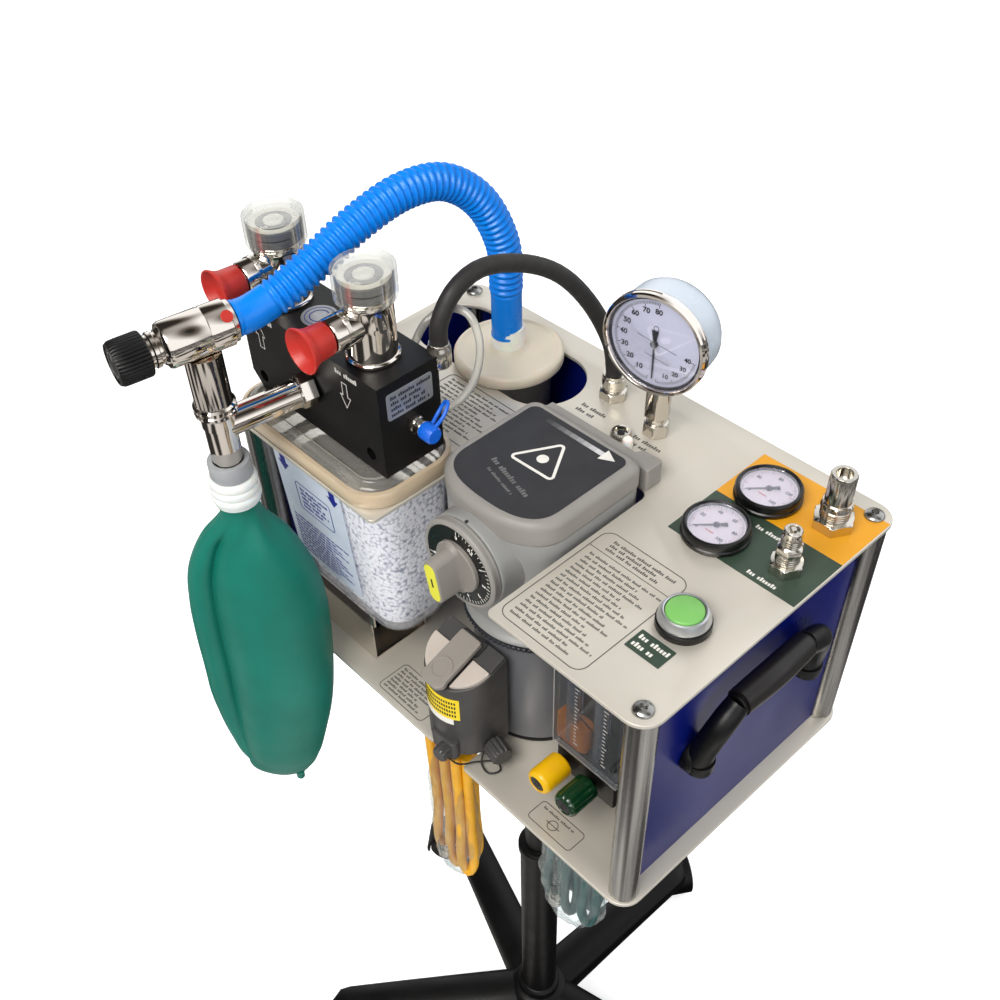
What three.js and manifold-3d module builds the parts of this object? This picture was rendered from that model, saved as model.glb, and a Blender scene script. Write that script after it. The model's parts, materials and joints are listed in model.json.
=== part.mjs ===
// Small-animal anesthesia machine on a five-star stand, in millimetres, +Z up.
// It is laid out from the stand's pole: x to the machine's right, y to its back, z from the floor.
// The finished group is then moved so that its origin is on the floor under the middle of its bounding box.
import * as THREE from "three";
import { mergeVertices } from "three/addons/utils/BufferGeometryUtils.js";
import Module from "manifold-3d";

const wasm = await Module();
wasm.setup();

// ---- Driving dimensions ----

const GAP = 0.3; // air left between separate pieces that rest on each other
const FACETS = 24; // sides of a round piece

// Two plates on four posts
const PLATE_W = 510;
const PLATE_D = 312;
const PLATE_T = 4;
const PLATE_CORNER_R = 20;
const BASE_Z = 904; // top face of the base plate
const POST_H = 254;
const POST_R = 12.7;
const POST_X = 239;
const POST_Y = 140;
const DECK_Z = BASE_Z + POST_H + PLATE_T; // top face of the top plate
const DECK_UNDER = DECK_Z - PLATE_T;
const PANEL_T = 2;
const HANDLE_FEET_Y = [-72, 70];
const HANDLE_FOOT_X = 250;
const HANDLE_FOOT_Z = 1046;
const HANDLE_GRIP_X = 258;
const HANDLE_GRIP_Z = 1101;
const HANDLE_R = 11;
const HANDLE_FOOT_R = 14;
const DRAIN_NOTCH = { x0: 9, x1: 49, back: -112, r: 10 };

// Stand
const LEGS = 5;
const FIRST_LEG_DEG = 16;
const CASTER_REACH = 315; // from the pole to a caster's swivel axis
const WHEEL_R = 34;
const WHEEL_W = 16;
const WHEEL_GAP = 6.6; // from the fork's middle plane to each wheel
const CASTER_TRAIL = 20;
const LEG_TOP_Z = 110;
const LEG_UNDER_Z = 80;
const LEG_HUB_W = 64;
const LEG_TIP_W = 52;
const STEM_R = 5.5;
const HUB_R = 34;
const COLUMN_R = 25;
const POLE_R = 19;

// Vaporizer
const VAP_X = 25;
const VAP_HALF_W = 64.5;
const VAP_BACK_Y = 30;
const VAP_SHOULDER_Y = -62;
const VAP_NOSE_Y = -104;
const SUMP_X = 35;
const SUMP_Y = -39;
const SUMP_R = 61.5;
const HOUSING_Z = 1060;
const FLANGE_R = 70;
const FLANGE_Z = 1045;
const COVER_Z = 1172;
const VAP_TOP_Z = 1196;
const DIAL_Z = 1139;
const DIAL_R = 43;
const DIAL_Y = -122;
const VAP_NOTCH = { left: VAP_X - 71, right: VAP_X + 68.4, r: 12 };
const FILLER_R = 36;
const FILLER_Y = -125;
const FILLER_UNDER_Z = 918;
const FILLER_TOP_Z = 1036;
const FILLER_HINGE_Z = FILLER_TOP_Z - 7;
const FILLER_SLOPE = THREE.MathUtils.degToRad(20);

// Carbon dioxide absorber and the circle valve block
const LOBE_X = -152; // middle of the absorber's lid and of the block
const ABSORBER_X = -137;
const ABSORBER_UNDER_Z = 973;
const JAR_TOP = { halfW: 85, front: -147, back: -49, r: 28 };
const JAR_FOOT = { halfW: 76, front: -135, back: -58, r: 26 };
const BRACKET_LEFT = 66; // reach of the bracket to each side of the absorber's middle
const BRACKET_RIGHT = 27;
const BRACKET_FRONT_Y = -131;
const BRACKET_BACK_Y = -62;
const SHEET_T = 2;
const LID_HALF_W = 105;
const LID_FRONT_Y = -156;
const LID_BACK_Y = -45;
const LID_TOP_Z = 1185;
const BLOCK_HALF_W = 95;
const BLOCK_FRONT_Y = -127;
const BLOCK_BACK_Y = -63;
const BLOCK_TOP_Z = 1277;
const BLOCK_CHAMFER = 16;
const BLOCK_SCREW_X = 77;
const BLOCK_SCREW_Z = 1202;
const VALVE_MID_X = -155;
const VALVE_HALF_SPAN = 59;
const VALVE_Y = -98;
const VALVE_R = 21;
const VALVE_HEAD_Z = 1337;
const DOME_R = 26;
const DOME_RIM_Z = 1333;
const DOME_TOP_Z = 1360;
const PORT_Z = 1314;
const PORT_R = 11;
const PORT_END_Y = VALVE_Y - 54;
const PORT_CAP_L = 25;
const PORT_CAP_Y = PORT_END_Y + 12; // its back edge; the port runs this far into it

// Bag arm, turned a little to the left of straight forward
const ARM_YAW = THREE.MathUtils.degToRad(-9);
const ARM_ROOT = [-151, BLOCK_FRONT_Y - GAP, 1231];
const ARM_REACH = 86; // from the block to the vertical tube
const APL_Z = 1322;
const ARM_FOOT_Z = 1196;
const BAG_BOTTOM_Z = 730;
const BAG_YAW = THREE.MathUtils.degToRad(56);

// Scavenging canister
const CANISTER_X = -130;
const CANISTER_Y = 84.5;
const CANISTER_UNDER_Z = 1050;
const SLOT_R = 42.5;
const SLOT_ENDS_X = [-243, -43];
const NIPPLE_R = 15;
const NIPPLE_TOP_Z = 1205;
const SCAVENGE_HOSE_R = 15.5;
const GAS_HOSE_R = 7;

// Gauges, inlets and controls on the deck: [x, y]
const AIR_GAUGE = [165, 98];
const OXYGEN_GAUGE = [162, 34];
const AIR_INLET = [221, 108];
const OXYGEN_INLET = [225, 41];
const FLUSH = [207, -59];
const GAUGE_R = 28.5;
const GAUGE_H = 13;
const FLUSH_R = 16;
const COMMON_GAS = [-18, 110];
const MANOMETER = [44, 97];
const MANOMETER_Z = 1266;
const MANOMETER_HEAD_Y = -18; // the face stands forward of its stem
const MANOMETER_R = 47.5;
const MANOMETER_YAW = THREE.MathUtils.degToRad(10.5);

// Flowmeter
const FLOW_X = [136, 168]; // air, oxygen
const FLOW_Y = -98;
const FLOW_KNOB_Z = 957;
const FLOW_KNOB_R = 13;
const FLOW_TUBE_R = 7;
const FLOW_TUBE_FOOT_Z = 985;
const FLOAT_R = 3.2;

// Coiled supply hoses in their bags: middle, foot and greatest half width and half depth
const AIR_SUPPLY = { x: 14, y: -142, footZ: 655, halfW: 30, halfD: 20 };
const OXYGEN_SUPPLY = { x: 137, y: -88, footZ: 644, halfW: 40, halfD: 26 };

// ---- Materials ----

const finish = (color, roughness, metalness = 0) =>
  new THREE.MeshStandardMaterial({ color, roughness, metalness });
const FINISH = {
  plate: finish(0xe1dccf, 0.35, 0.8),
  post: finish(0xa6a7a6, 0.3, 1),
  panel: finish(0x141e6e, 0.45),
  blackPlastic: finish(0x18181a, 0.5),
  blackRubber: finish(0x201f1e, 0.6),
  castGray: finish(0x96918a, 0.45),
  fillerGray: finish(0x4b4e52, 0.5),
  clear: finish(0xe8e4d8, 0.1),
  granules: finish(0xdcdde2, 0.8),
  polished: finish(0xc9c5bc, 0.12, 1),
  anodised: finish(0x1d1d1f, 0.4, 0.3),
  redCap: finish(0xd8402c, 0.4),
  teal: finish(0x19735f, 0.5),
  blueHose: finish(0x1e8cff, 0.35),
  cream: finish(0xe6ddcb, 0.5),
  white: finish(0xf0f0ee, 0.4),
  nickel: finish(0xb7afa0, 0.25, 1),
  green: finish(0x6ebe5a, 0.4),
  yellow: finish(0xf2c012, 0.4),
  darkGreen: finish(0x12502a, 0.35),
};

// ---- Shaping ----

// A closed three.js geometry as a manifold-3d solid with its faces pointing out.
function solid(shape) {
  if (!shape.isBufferGeometry) return shape;
  const bare = shape.index ? shape.toNonIndexed() : shape.clone();
  bare.deleteAttribute("normal");
  bare.deleteAttribute("uv");
  const merged = mergeVertices(bare, 1e-3);
  const vertProperties = merged.attributes.position.array;
  const triVerts = new Uint32Array(merged.index.array);
  const make = () => new wasm.Manifold(new wasm.Mesh({ numProp: 3, vertProperties, triVerts }));
  const made = make();
  if (made.volume() > 0) return made;
  for (let i = 0; i < triVerts.length; i += 3) {
    [triVerts[i + 1], triVerts[i + 2]] = [triVerts[i + 2], triVerts[i + 1]];
  }
  return make();
}

const join = (first, ...rest) => rest.reduce((sum, next) => sum.add(solid(next)), solid(first));

const cut = (body, ...tools) => tools.reduce((left, tool) => left.subtract(solid(tool)), solid(body));

const common = (a, b) => solid(a).intersect(solid(b));

// A manifold-3d solid as a three.js geometry.
function geometryOf(shape) {
  const mesh = solid(shape).getMesh();
  const geometry = new THREE.BufferGeometry();
  geometry.setAttribute("position", new THREE.BufferAttribute(mesh.vertProperties.slice(), 3));
  geometry.setIndex(new THREE.BufferAttribute(mesh.triVerts.slice(), 1));
  geometry.computeVertexNormals();
  return geometry;
}

// A box from its lowest to its highest corner.
function block(low, high) {
  const size = high.map((value, i) => value - low[i]);
  const middle = high.map((value, i) => (value + low[i]) / 2);
  return new THREE.BoxGeometry(...size).translate(...middle);
}

// A round bar between two points.
function bar(from, to, r, sides = FACETS, r2 = r) {
  const a = new THREE.Vector3(...from);
  const b = new THREE.Vector3(...to);
  const way = b.clone().sub(a);
  const up = new THREE.Vector3(0, 1, 0);
  const turn = new THREE.Quaternion().setFromUnitVectors(up, way.clone().normalize());
  const middle = a.add(b).multiplyScalar(0.5);
  return new THREE.CylinderGeometry(r2, r, way.length(), sides).applyQuaternion(turn).translate(...middle);
}

// A profile of [radius, height] turned about +Z, standing at a point.
function turned(profile, at = [0, 0, 0], sides = FACETS) {
  const points = profile.map(([r, h]) => new THREE.Vector2(r, h));
  return new THREE.LatheGeometry(points, sides).rotateX(Math.PI / 2).translate(...at);
}

// The same profile with its height running towards -Y.
function turnedForward(profile, at, sides = FACETS) {
  return turned(profile, [0, 0, 0], sides).rotateX(Math.PI / 2).translate(...at);
}

function roundedRect(x0, y0, x1, y1, r) {
  const shape = new THREE.Shape();
  shape.absarc(x1 - r, y0 + r, r, -Math.PI / 2, 0);
  shape.absarc(x1 - r, y1 - r, r, 0, Math.PI / 2);
  shape.absarc(x0 + r, y1 - r, r, Math.PI / 2, Math.PI);
  shape.absarc(x0 + r, y0 + r, r, Math.PI, 1.5 * Math.PI);
  shape.closePath();
  return shape;
}

// An outline in the XY plane raised from z0 to z1.
function raised(shape, z0, z1, curveSegments = 3) {
  const settings = { depth: z1 - z0, bevelEnabled: false, curveSegments };
  return new THREE.ExtrudeGeometry(shape, settings).translate(0, 0, z0);
}

// A round tube, solid, along a smooth curve through the points.
function hose(points, r, steps, sides = 12) {
  const extrudePath = new THREE.CatmullRomCurve3(points.map((p) => new THREE.Vector3(...p)));
  const round = new THREE.Shape().absarc(0, 0, r, 0, 2 * Math.PI);
  const settings = { steps, extrudePath, bevelEnabled: false, curveSegments: sides / 2 };
  return new THREE.ExtrudeGeometry(round, settings);
}

// A soft closed form lofted through level rings: [z, centre x, centre y, half width, half depth].
function lofted(rings, sides = 20) {
  const vertices = [];
  const faces = [];
  for (const [z, x, y, halfW, halfD] of rings) {
    for (let i = 0; i < sides; i += 1) {
      const turn = (2 * Math.PI * i) / sides;
      vertices.push(x + halfW * Math.cos(turn), y + halfD * Math.sin(turn), z);
    }
  }
  const last = rings.length - 1;
  for (let i = 0; i < sides; i += 1) {
    const next = (i + 1) % sides;
    for (let ring = 0; ring < last; ring += 1) {
      const low = ring * sides;
      faces.push(low + i, low + next, low + sides + next, low + i, low + sides + next, low + sides + i);
    }
  }
  for (let i = 1; i < sides - 1; i += 1) {
    faces.push(0, i + 1, i, last * sides, last * sides + i, last * sides + i + 1);
  }
  const geometry = new THREE.BufferGeometry();
  geometry.setAttribute("position", new THREE.Float32BufferAttribute(vertices, 3));
  geometry.setIndex(faces);
  return geometry;
}

const machine = new THREE.Group();

function add(name, shape, material, parent = machine) {
  const mesh = new THREE.Mesh(geometryOf(shape), material);
  mesh.name = name;
  parent.add(mesh);
  return mesh;
}

// ---- Chassis ----

function plateOutline() {
  return roundedRect(-PLATE_W / 2, -PLATE_D / 2, PLATE_W / 2, PLATE_D / 2, PLATE_CORNER_R);
}

function basePlate() {
  const { x0, x1, back, r } = DRAIN_NOTCH;
  const notch = raised(roundedRect(x0, -PLATE_D, x1, back, r), BASE_Z - 2 * PLATE_T, BASE_Z + PLATE_T);
  return cut(raised(plateOutline(), BASE_Z - PLATE_T, BASE_Z), notch);
}

function topPlate() {
  const low = DECK_UNDER - PLATE_T;
  const high = DECK_Z + PLATE_T;
  const { left, right, r } = VAP_NOTCH;
  const vaporizerNotch = raised(roundedRect(left, -PLATE_D, right, VAP_BACK_Y + 2, r), low, high);
  const canisterHole = jarOutline(JAR_TOP, -2);
  const [slotLeft, slotRight] = SLOT_ENDS_X;
  const slotFront = CANISTER_Y - SLOT_R;
  const slotBack = CANISTER_Y + SLOT_R;
  const scavengeSlot = roundedRect(slotLeft, slotFront, slotRight, slotBack, SLOT_R - 0.01);
  const flushHole = bar([...FLUSH, low], [...FLUSH, high], FLUSH_R + 0.6);
  return cut(
    raised(plateOutline(), DECK_UNDER, DECK_Z),
    vaporizerNotch,
    raised(canisterHole, low, high),
    raised(scavengeSlot, low, high, 6),
    flushHole,
  );
}

function post(x, y) {
  return bar([x, y, BASE_Z + GAP], [x, y, DECK_UNDER - GAP], POST_R);
}

function carryHandle() {
  // A bowed grip that rises from two round feet on the outside of the right panel.
  const face = POST_X + PANEL_T / 2 + GAP;
  const path = [
    [HANDLE_FOOT_X, HANDLE_FEET_Y[0], HANDLE_FOOT_Z - 8],
    [HANDLE_FOOT_X + 2, HANDLE_FEET_Y[0], HANDLE_FOOT_Z + 14],
    [HANDLE_GRIP_X - 2, HANDLE_FEET_Y[0] + 6, HANDLE_GRIP_Z - 14],
    [HANDLE_GRIP_X, HANDLE_FEET_Y[0] + 26, HANDLE_GRIP_Z],
    [HANDLE_GRIP_X, HANDLE_FEET_Y[1] - 40, HANDLE_GRIP_Z],
    [HANDLE_GRIP_X - 2, HANDLE_FEET_Y[1] - 12, HANDLE_GRIP_Z - 12],
    [HANDLE_FOOT_X + 2, HANDLE_FEET_Y[1], HANDLE_FOOT_Z + 14],
    [HANDLE_FOOT_X, HANDLE_FEET_Y[1], HANDLE_FOOT_Z - 8],
  ];
  const foot = (y) =>
    bar([face, y, HANDLE_FOOT_Z], [HANDLE_FOOT_X + 10, y, HANDLE_FOOT_Z], HANDLE_FOOT_R, 16);
  const beyondPanel = block([face, -POST_Y, BASE_Z], [face + 80, POST_Y, DECK_UNDER]);
  return common(join(hose(path, HANDLE_R, 16, 10), ...HANDLE_FEET_Y.map(foot)), beyondPanel);
}

// ---- Stand ----

function standColumn() {
  const top = BASE_Z - PLATE_T - GAP;
  return turned([
    [0, LEG_TOP_Z + 4 + GAP],
    [COLUMN_R + 4, LEG_TOP_Z + 4 + GAP],
    [COLUMN_R + 4, LEG_TOP_Z + 22],
    [COLUMN_R, LEG_TOP_Z + 24],
    [COLUMN_R, 520],
    [POLE_R, 526],
    [POLE_R, top - 10],
    [70, top - 8],
    [70, top],
    [0, top],
  ]);
}

function leg() {
  // Side view of one leg along +X, then its width.
  const tip = CASTER_REACH + 30;
  const side = new THREE.Shape();
  side.moveTo(0, LEG_UNDER_Z - 8);
  side.lineTo(150, LEG_UNDER_Z + 2);
  side.lineTo(CASTER_REACH - 30, LEG_UNDER_Z);
  side.lineTo(tip, LEG_UNDER_Z);
  side.lineTo(tip, LEG_TOP_Z - 18);
  side.lineTo(CASTER_REACH - 20, LEG_TOP_Z - 8);
  side.lineTo(150, LEG_TOP_Z);
  side.lineTo(0, LEG_TOP_Z + 4);
  side.closePath();
  const depth = LEG_HUB_W;
  const slab = new THREE.ExtrudeGeometry(side, { depth, bevelEnabled: false }).rotateX(Math.PI / 2);
  const plan = new THREE.Shape();
  plan.moveTo(0, -LEG_HUB_W / 2);
  plan.lineTo(CASTER_REACH, -LEG_TIP_W / 2);
  plan.absarc(CASTER_REACH, 0, LEG_TIP_W / 2, -Math.PI / 2, Math.PI / 2);
  plan.lineTo(0, LEG_HUB_W / 2);
  plan.closePath();
  const body = common(slab.translate(0, depth / 2, 0), raised(plan, 0, 2 * LEG_TOP_Z));
  const socket = bar([CASTER_REACH, 0, 0], [CASTER_REACH, 0, LEG_UNDER_Z + 16], STEM_R + 0.5, 12);
  return geometryOf(cut(body, socket));
}

function starBase() {
  const hub = turned([
    [0, LEG_UNDER_Z - 10],
    [HUB_R, LEG_UNDER_Z - 10],
    [HUB_R + 6, LEG_TOP_Z],
    [HUB_R, LEG_TOP_Z + 4],
    [0, LEG_TOP_Z + 4],
  ]);
  const legs = Array.from({ length: LEGS }, (_, i) => leg().rotateZ(legAngle(i)));
  return join(hub, ...legs);
}

function legAngle(i) {
  return THREE.MathUtils.degToRad(FIRST_LEG_DEG + (360 / LEGS) * i);
}

// A caster in its own frame: swivel axis on z, wheels trailing towards +X.
function casterFork() {
  const across = (halfW, r, sides) =>
    bar([CASTER_TRAIL, -halfW, WHEEL_R], [CASTER_TRAIL, halfW, WHEEL_R], r, sides);
  const hoodHalfW = WHEEL_GAP + WHEEL_W + 2;
  const hood = cut(across(hoodHalfW, WHEEL_R + 6, 20), across(hoodHalfW + 5, WHEEL_R + 1.5, 20));
  const web = across(WHEEL_GAP - 0.6, WHEEL_R - 3, 12);
  const neck = block([-6, -6, WHEEL_R + 9], [30, 6, 2 * WHEEL_R + 5]);
  const upperHalf = block([-40, -40, WHEEL_R - 4], [90, 40, 2 * WHEEL_R + 20]);
  const lowerWeb = block([CASTER_TRAIL - 12, -6, WHEEL_R - 10], [CASTER_TRAIL + 12, 6, WHEEL_R]);
  const crown = bar([0, 0, 2 * WHEEL_R + 1.8], [0, 0, LEG_UNDER_Z - 0.6], 11, 16);
  const stem = bar([0, 0, WHEEL_R + 27], [0, 0, LEG_UNDER_Z + 14], STEM_R, 12);
  const shell = common(join(hood, web, neck), upperHalf);
  return geometryOf(cut(join(shell, lowerWeb, crown, stem), across(30, 4.7, 12)));
}

function casterWheels() {
  const along = (y0, y1, r, sides) =>
    bar([CASTER_TRAIL, y0, WHEEL_R], [CASTER_TRAIL, y1, WHEEL_R], r, sides);
  const left = along(WHEEL_GAP, WHEEL_GAP + WHEEL_W, WHEEL_R, 20);
  const right = along(-WHEEL_GAP - WHEEL_W, -WHEEL_GAP, WHEEL_R, 20);
  return geometryOf(join(left, right, along(-8, 8, 4.1, 12)));
}

// ---- Vaporizer ----

// Plan outline: straight sides and back, one wide bowed front.
function vaporizerOutline(inset) {
  const x0 = VAP_X - VAP_HALF_W + inset;
  const x1 = VAP_X + VAP_HALF_W - inset;
  const back = VAP_BACK_Y - inset;
  const corner = 12;
  const shape = new THREE.Shape();
  shape.moveTo(x0, VAP_SHOULDER_Y);
  const nose = VAP_NOSE_Y + inset;
  const bow = VAP_SHOULDER_Y - 30;
  shape.bezierCurveTo(x0, bow, x0 + 32, nose, VAP_X, nose);
  shape.bezierCurveTo(x1 - 32, nose, x1, bow, x1, VAP_SHOULDER_Y);
  shape.absarc(x1 - corner, back - corner, corner, 0, Math.PI / 2);
  shape.absarc(x0 + corner, back - corner, corner, Math.PI / 2, Math.PI);
  shape.closePath();
  return shape;
}

function vaporizerBody() {
  const housing = raised(vaporizerOutline(1), HOUSING_Z, COVER_Z - GAP, 5);
  const sump = turned(
    [
      [0, BASE_Z + GAP],
      [SUMP_R, BASE_Z + GAP],
      [SUMP_R, FLANGE_Z],
      [FLANGE_R, FLANGE_Z],
      [FLANGE_R, FLANGE_Z + 6],
      [SUMP_R, HOUSING_Z + 1],
      [0, HOUSING_Z + 1],
    ],
    [SUMP_X, SUMP_Y, 0],
    28,
  );
  const boss = bar([VAP_X, -60, DIAL_Z], [VAP_X, DIAL_Y + 8, DIAL_Z], DIAL_R + 1);
  const neck = cut(boss, raised(vaporizerOutline(-1), COVER_Z - GAP, VAP_TOP_Z, 5));
  const seatLow = [VAP_X - 25, VAP_NOSE_Y, FILLER_UNDER_Z + 12];
  const seatHigh = [VAP_X + 25, VAP_NOSE_Y + 14, FILLER_TOP_Z - 16];
  const fillerSeat = block(seatLow, seatHigh);
  const dialRecess = bar([VAP_X, DIAL_Y - 1, DIAL_Z], [VAP_X, DIAL_Y + 22, DIAL_Z], 7, 16);
  return cut(join(housing, sump, neck, fillerSeat), dialRecess);
}

function vaporizerCover() {
  const round = 7;
  const settings = {
    depth: VAP_TOP_Z - COVER_Z - round,
    bevelThickness: round,
    bevelSize: round,
    bevelOffset: -round,
    bevelSegments: 2,
    curveSegments: 5,
  };
  const cap = new THREE.ExtrudeGeometry(vaporizerOutline(0), settings).translate(0, 0, COVER_Z);
  return common(cap, block([-PLATE_W, -PLATE_D, COVER_Z], [PLATE_W, PLATE_D, VAP_TOP_Z]));
}

function vaporizerDial() {
  const ring = turnedForward(
    [
      [0, -18],
      [6.6, -18],
      [6.6, -7.5],
      [DIAL_R - 2, -7.5],
      [DIAL_R, -5],
      [DIAL_R, -1],
      [DIAL_R - 3, 2],
      [24, 2],
      [22, 5],
      [0, 5],
    ],
    [VAP_X, DIAL_Y, DIAL_Z],
    28,
  );
  const grip = new THREE.ExtrudeGeometry(roundedRect(-8, -22, 8, 22, 7.9), {
    depth: 30,
    bevelEnabled: false,
    curveSegments: 3,
  });
  grip.rotateZ(THREE.MathUtils.degToRad(11)).rotateX(Math.PI / 2);
  return join(ring, grip.translate(VAP_X, DIAL_Y, DIAL_Z));
}

function fillerBlock() {
  const plan = new THREE.Shape();
  plan.moveTo(VAP_X + FILLER_R, VAP_NOSE_Y - GAP);
  plan.lineTo(VAP_X - FILLER_R, VAP_NOSE_Y - GAP);
  plan.lineTo(VAP_X - FILLER_R, FILLER_Y);
  plan.absarc(VAP_X, FILLER_Y, FILLER_R, Math.PI, 2 * Math.PI);
  plan.closePath();
  const body = raised(plan, FILLER_UNDER_Z, FILLER_TOP_Z, 9);
  const slope = block([-100, -60, 0], [100, 60, 60]).rotateX(FILLER_SLOPE);
  slope.translate(VAP_X, FILLER_Y, FILLER_HINGE_Z);
  const screw = (from, to, up, r) => bar([...from, FILLER_UNDER_Z + up], [...to, FILLER_UNDER_Z + up], r, 12);
  const drainScrew = screw([VAP_X + 26, FILLER_Y], [VAP_X + 52, FILLER_Y - 6], 8, 9);
  const clampScrew = screw([VAP_X + 16, FILLER_Y - 22], [VAP_X + 20, FILLER_Y - 44], 10, 7);
  return join(cut(body, slope), drainScrew, clampScrew);
}

function fillerLever() {
  const plan = roundedRect(-13, -48, 13, 16, 9);
  return raised(plan, GAP, 9).rotateX(FILLER_SLOPE).translate(VAP_X, FILLER_Y, FILLER_HINGE_Z);
}

// ---- Absorber and valve block ----

function jarOutline({ halfW, front, back, r }, inset = 0) {
  const reach = halfW - inset;
  return roundedRect(ABSORBER_X - reach, front + inset, ABSORBER_X + reach, back - inset, r - inset);
}

function absorberCanister() {
  const points = (shape) => shape.getPoints(3).slice(0, -1);
  const upper = points(jarOutline(JAR_TOP));
  const lower = points(jarOutline(JAR_FOOT));
  const sides = upper.length;
  const position = [];
  lower.forEach((p) => position.push(p.x, p.y, ABSORBER_UNDER_Z));
  upper.forEach((p) => position.push(p.x, p.y, DECK_Z));
  const faces = [];
  for (let i = 0; i < sides; i += 1) {
    const next = (i + 1) % sides;
    faces.push(i, next, sides + next, i, sides + next, sides + i);
    if (i > 0 && i < sides - 1) faces.push(0, i + 1, i, sides, sides + i, sides + i + 1);
  }
  const geometry = new THREE.BufferGeometry();
  geometry.setAttribute("position", new THREE.Float32BufferAttribute(position, 3));
  geometry.setIndex(faces);
  return geometry;
}

function absorberLid() {
  const rim = (inset, r) =>
    roundedRect(
      LOBE_X - LID_HALF_W + inset,
      LID_FRONT_Y + inset,
      LOBE_X + LID_HALF_W - inset,
      LID_BACK_Y - inset,
      r,
    );
  const skirt = raised(rim(0, 34), DECK_Z + GAP, DECK_Z + 15, 4);
  const crown = raised(rim(9, 26), DECK_Z + 10, LID_TOP_Z, 4);
  return join(skirt, crown);
}

function absorberBracket() {
  // A bent channel on the base plate that carries the canister.
  const x0 = ABSORBER_X - BRACKET_LEFT;
  const x1 = ABSORBER_X + BRACKET_RIGHT;
  const y0 = BRACKET_FRONT_Y;
  const y1 = BRACKET_BACK_Y;
  const foot = BASE_Z + GAP;
  const top = ABSORBER_UNDER_Z - GAP;
  const channel = block([x0, y0, foot], [x1, y1, top]);
  const inside = block([x0 - 5, y0 + SHEET_T, foot + SHEET_T], [x1 + 5, y1 - SHEET_T, top - SHEET_T]);
  const lip = block([x0, y0, top - 14], [x1 + 6, y0 + SHEET_T, top]);
  return join(cut(channel, inside), lip);
}

function valveBlock() {
  const outline = new THREE.Shape();
  const foot = LID_TOP_Z + GAP;
  outline.moveTo(-BLOCK_HALF_W + BLOCK_CHAMFER, foot);
  outline.lineTo(BLOCK_HALF_W, foot);
  outline.lineTo(BLOCK_HALF_W, BLOCK_TOP_Z);
  outline.lineTo(-BLOCK_HALF_W, BLOCK_TOP_Z);
  outline.lineTo(-BLOCK_HALF_W, foot + BLOCK_CHAMFER);
  outline.closePath();
  const depth = BLOCK_BACK_Y - BLOCK_FRONT_Y;
  const slab = new THREE.ExtrudeGeometry(outline, { depth, bevelEnabled: false });
  slab.rotateX(Math.PI / 2).translate(LOBE_X, BLOCK_BACK_Y, 0);
  const counterbore = (x) =>
    bar([x, BLOCK_FRONT_Y - 5, BLOCK_SCREW_Z], [x, BLOCK_FRONT_Y + 14, BLOCK_SCREW_Z], 6, 16);
  return cut(slab, counterbore(LOBE_X - BLOCK_SCREW_X), counterbore(LOBE_X + BLOCK_SCREW_X));
}

function valveBody(x) {
  const at = [x, VALVE_Y, 0];
  const barrel = turned(
    [
      [0, BLOCK_TOP_Z + GAP],
      [VALVE_R + 1, BLOCK_TOP_Z + GAP],
      [VALVE_R + 1, BLOCK_TOP_Z + 4],
      [VALVE_R, BLOCK_TOP_Z + 5],
      [VALVE_R, VALVE_HEAD_Z - 11],
      [VALVE_R + 2, VALVE_HEAD_Z - 6],
      [VALVE_R + 2, VALVE_HEAD_Z],
      [0, VALVE_HEAD_Z],
    ],
    at,
  );
  const collar = bar([x, VALVE_Y, PORT_Z], [x, VALVE_Y - 30, PORT_Z], PORT_R + 3.5, 16);
  const port = bar([x, VALVE_Y, PORT_Z], [x, PORT_END_Y, PORT_Z], PORT_R, 16);
  return join(barrel, collar, port);
}

function valveDome(x) {
  return turned(
    [
      [0, DOME_TOP_Z],
      [DOME_R, DOME_TOP_Z],
      [DOME_R, DOME_RIM_Z],
      [VALVE_R + 2.5, DOME_RIM_Z],
      [VALVE_R + 2.5, DOME_TOP_Z - 4],
      [0, DOME_TOP_Z - 4],
    ],
    [x, VALVE_Y, 0],
  );
}

function portCap(x) {
  return turnedForward(
    [
      [0, PORT_CAP_L - 12],
      [PORT_R + 0.5, PORT_CAP_L - 12],
      [PORT_R + 0.5, 0],
      [PORT_R + 2.5, 0],
      [PORT_R + 4, PORT_CAP_L - 10],
      [PORT_R + 8.5, PORT_CAP_L - 2],
      [PORT_R + 7.5, PORT_CAP_L],
      [PORT_R + 2, PORT_CAP_L - 6],
      [PORT_R, PORT_CAP_L - 8],
      [0, PORT_CAP_L - 8],
    ],
    [x, PORT_CAP_Y, PORT_Z],
    20,
  );
}

// ---- Bag arm, adjustable pressure-limiting valve and breathing bag ----
// The arm's own frame has its origin where it leaves the block, and runs towards -Y.

function bagArm() {
  const pipe = bar([0, 6, 0], [0, -ARM_REACH, 0], 12.5);
  const nut = bar([0, 6, 0], [0, -14, 0], 15, 6);
  const blockFace = block([-60, 0, -60], [60, 60, 60]).rotateZ(-ARM_YAW);
  const low = ARM_FOOT_Z - ARM_ROOT[2];
  const high = APL_Z - 18 - ARM_ROOT[2];
  const riser = turned(
    [
      [0, low],
      [13.5, low],
      [14.5, 15],
      [18, 18],
      [18, 23],
      [16, 25],
      [16, high],
      [0, high],
    ],
    [0, -ARM_REACH, 0],
  );
  return cut(join(pipe, nut, riser), blockFace);
}

function aplBody() {
  const rise = APL_Z - ARM_ROOT[2];
  const barrel = turnedForward(
    [
      [0, -30],
      [17, -30],
      [19, -27],
      [19, 28],
      [15, 32],
      [13, 33],
      [13, 41],
      [0, 41],
    ],
    [0, -ARM_REACH, rise],
  );
  const saddleCut = block([-30, -ARM_REACH - 40, -30], [30, -ARM_REACH + 40, rise - 17.5]);
  return cut(barrel, saddleCut);
}

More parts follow.
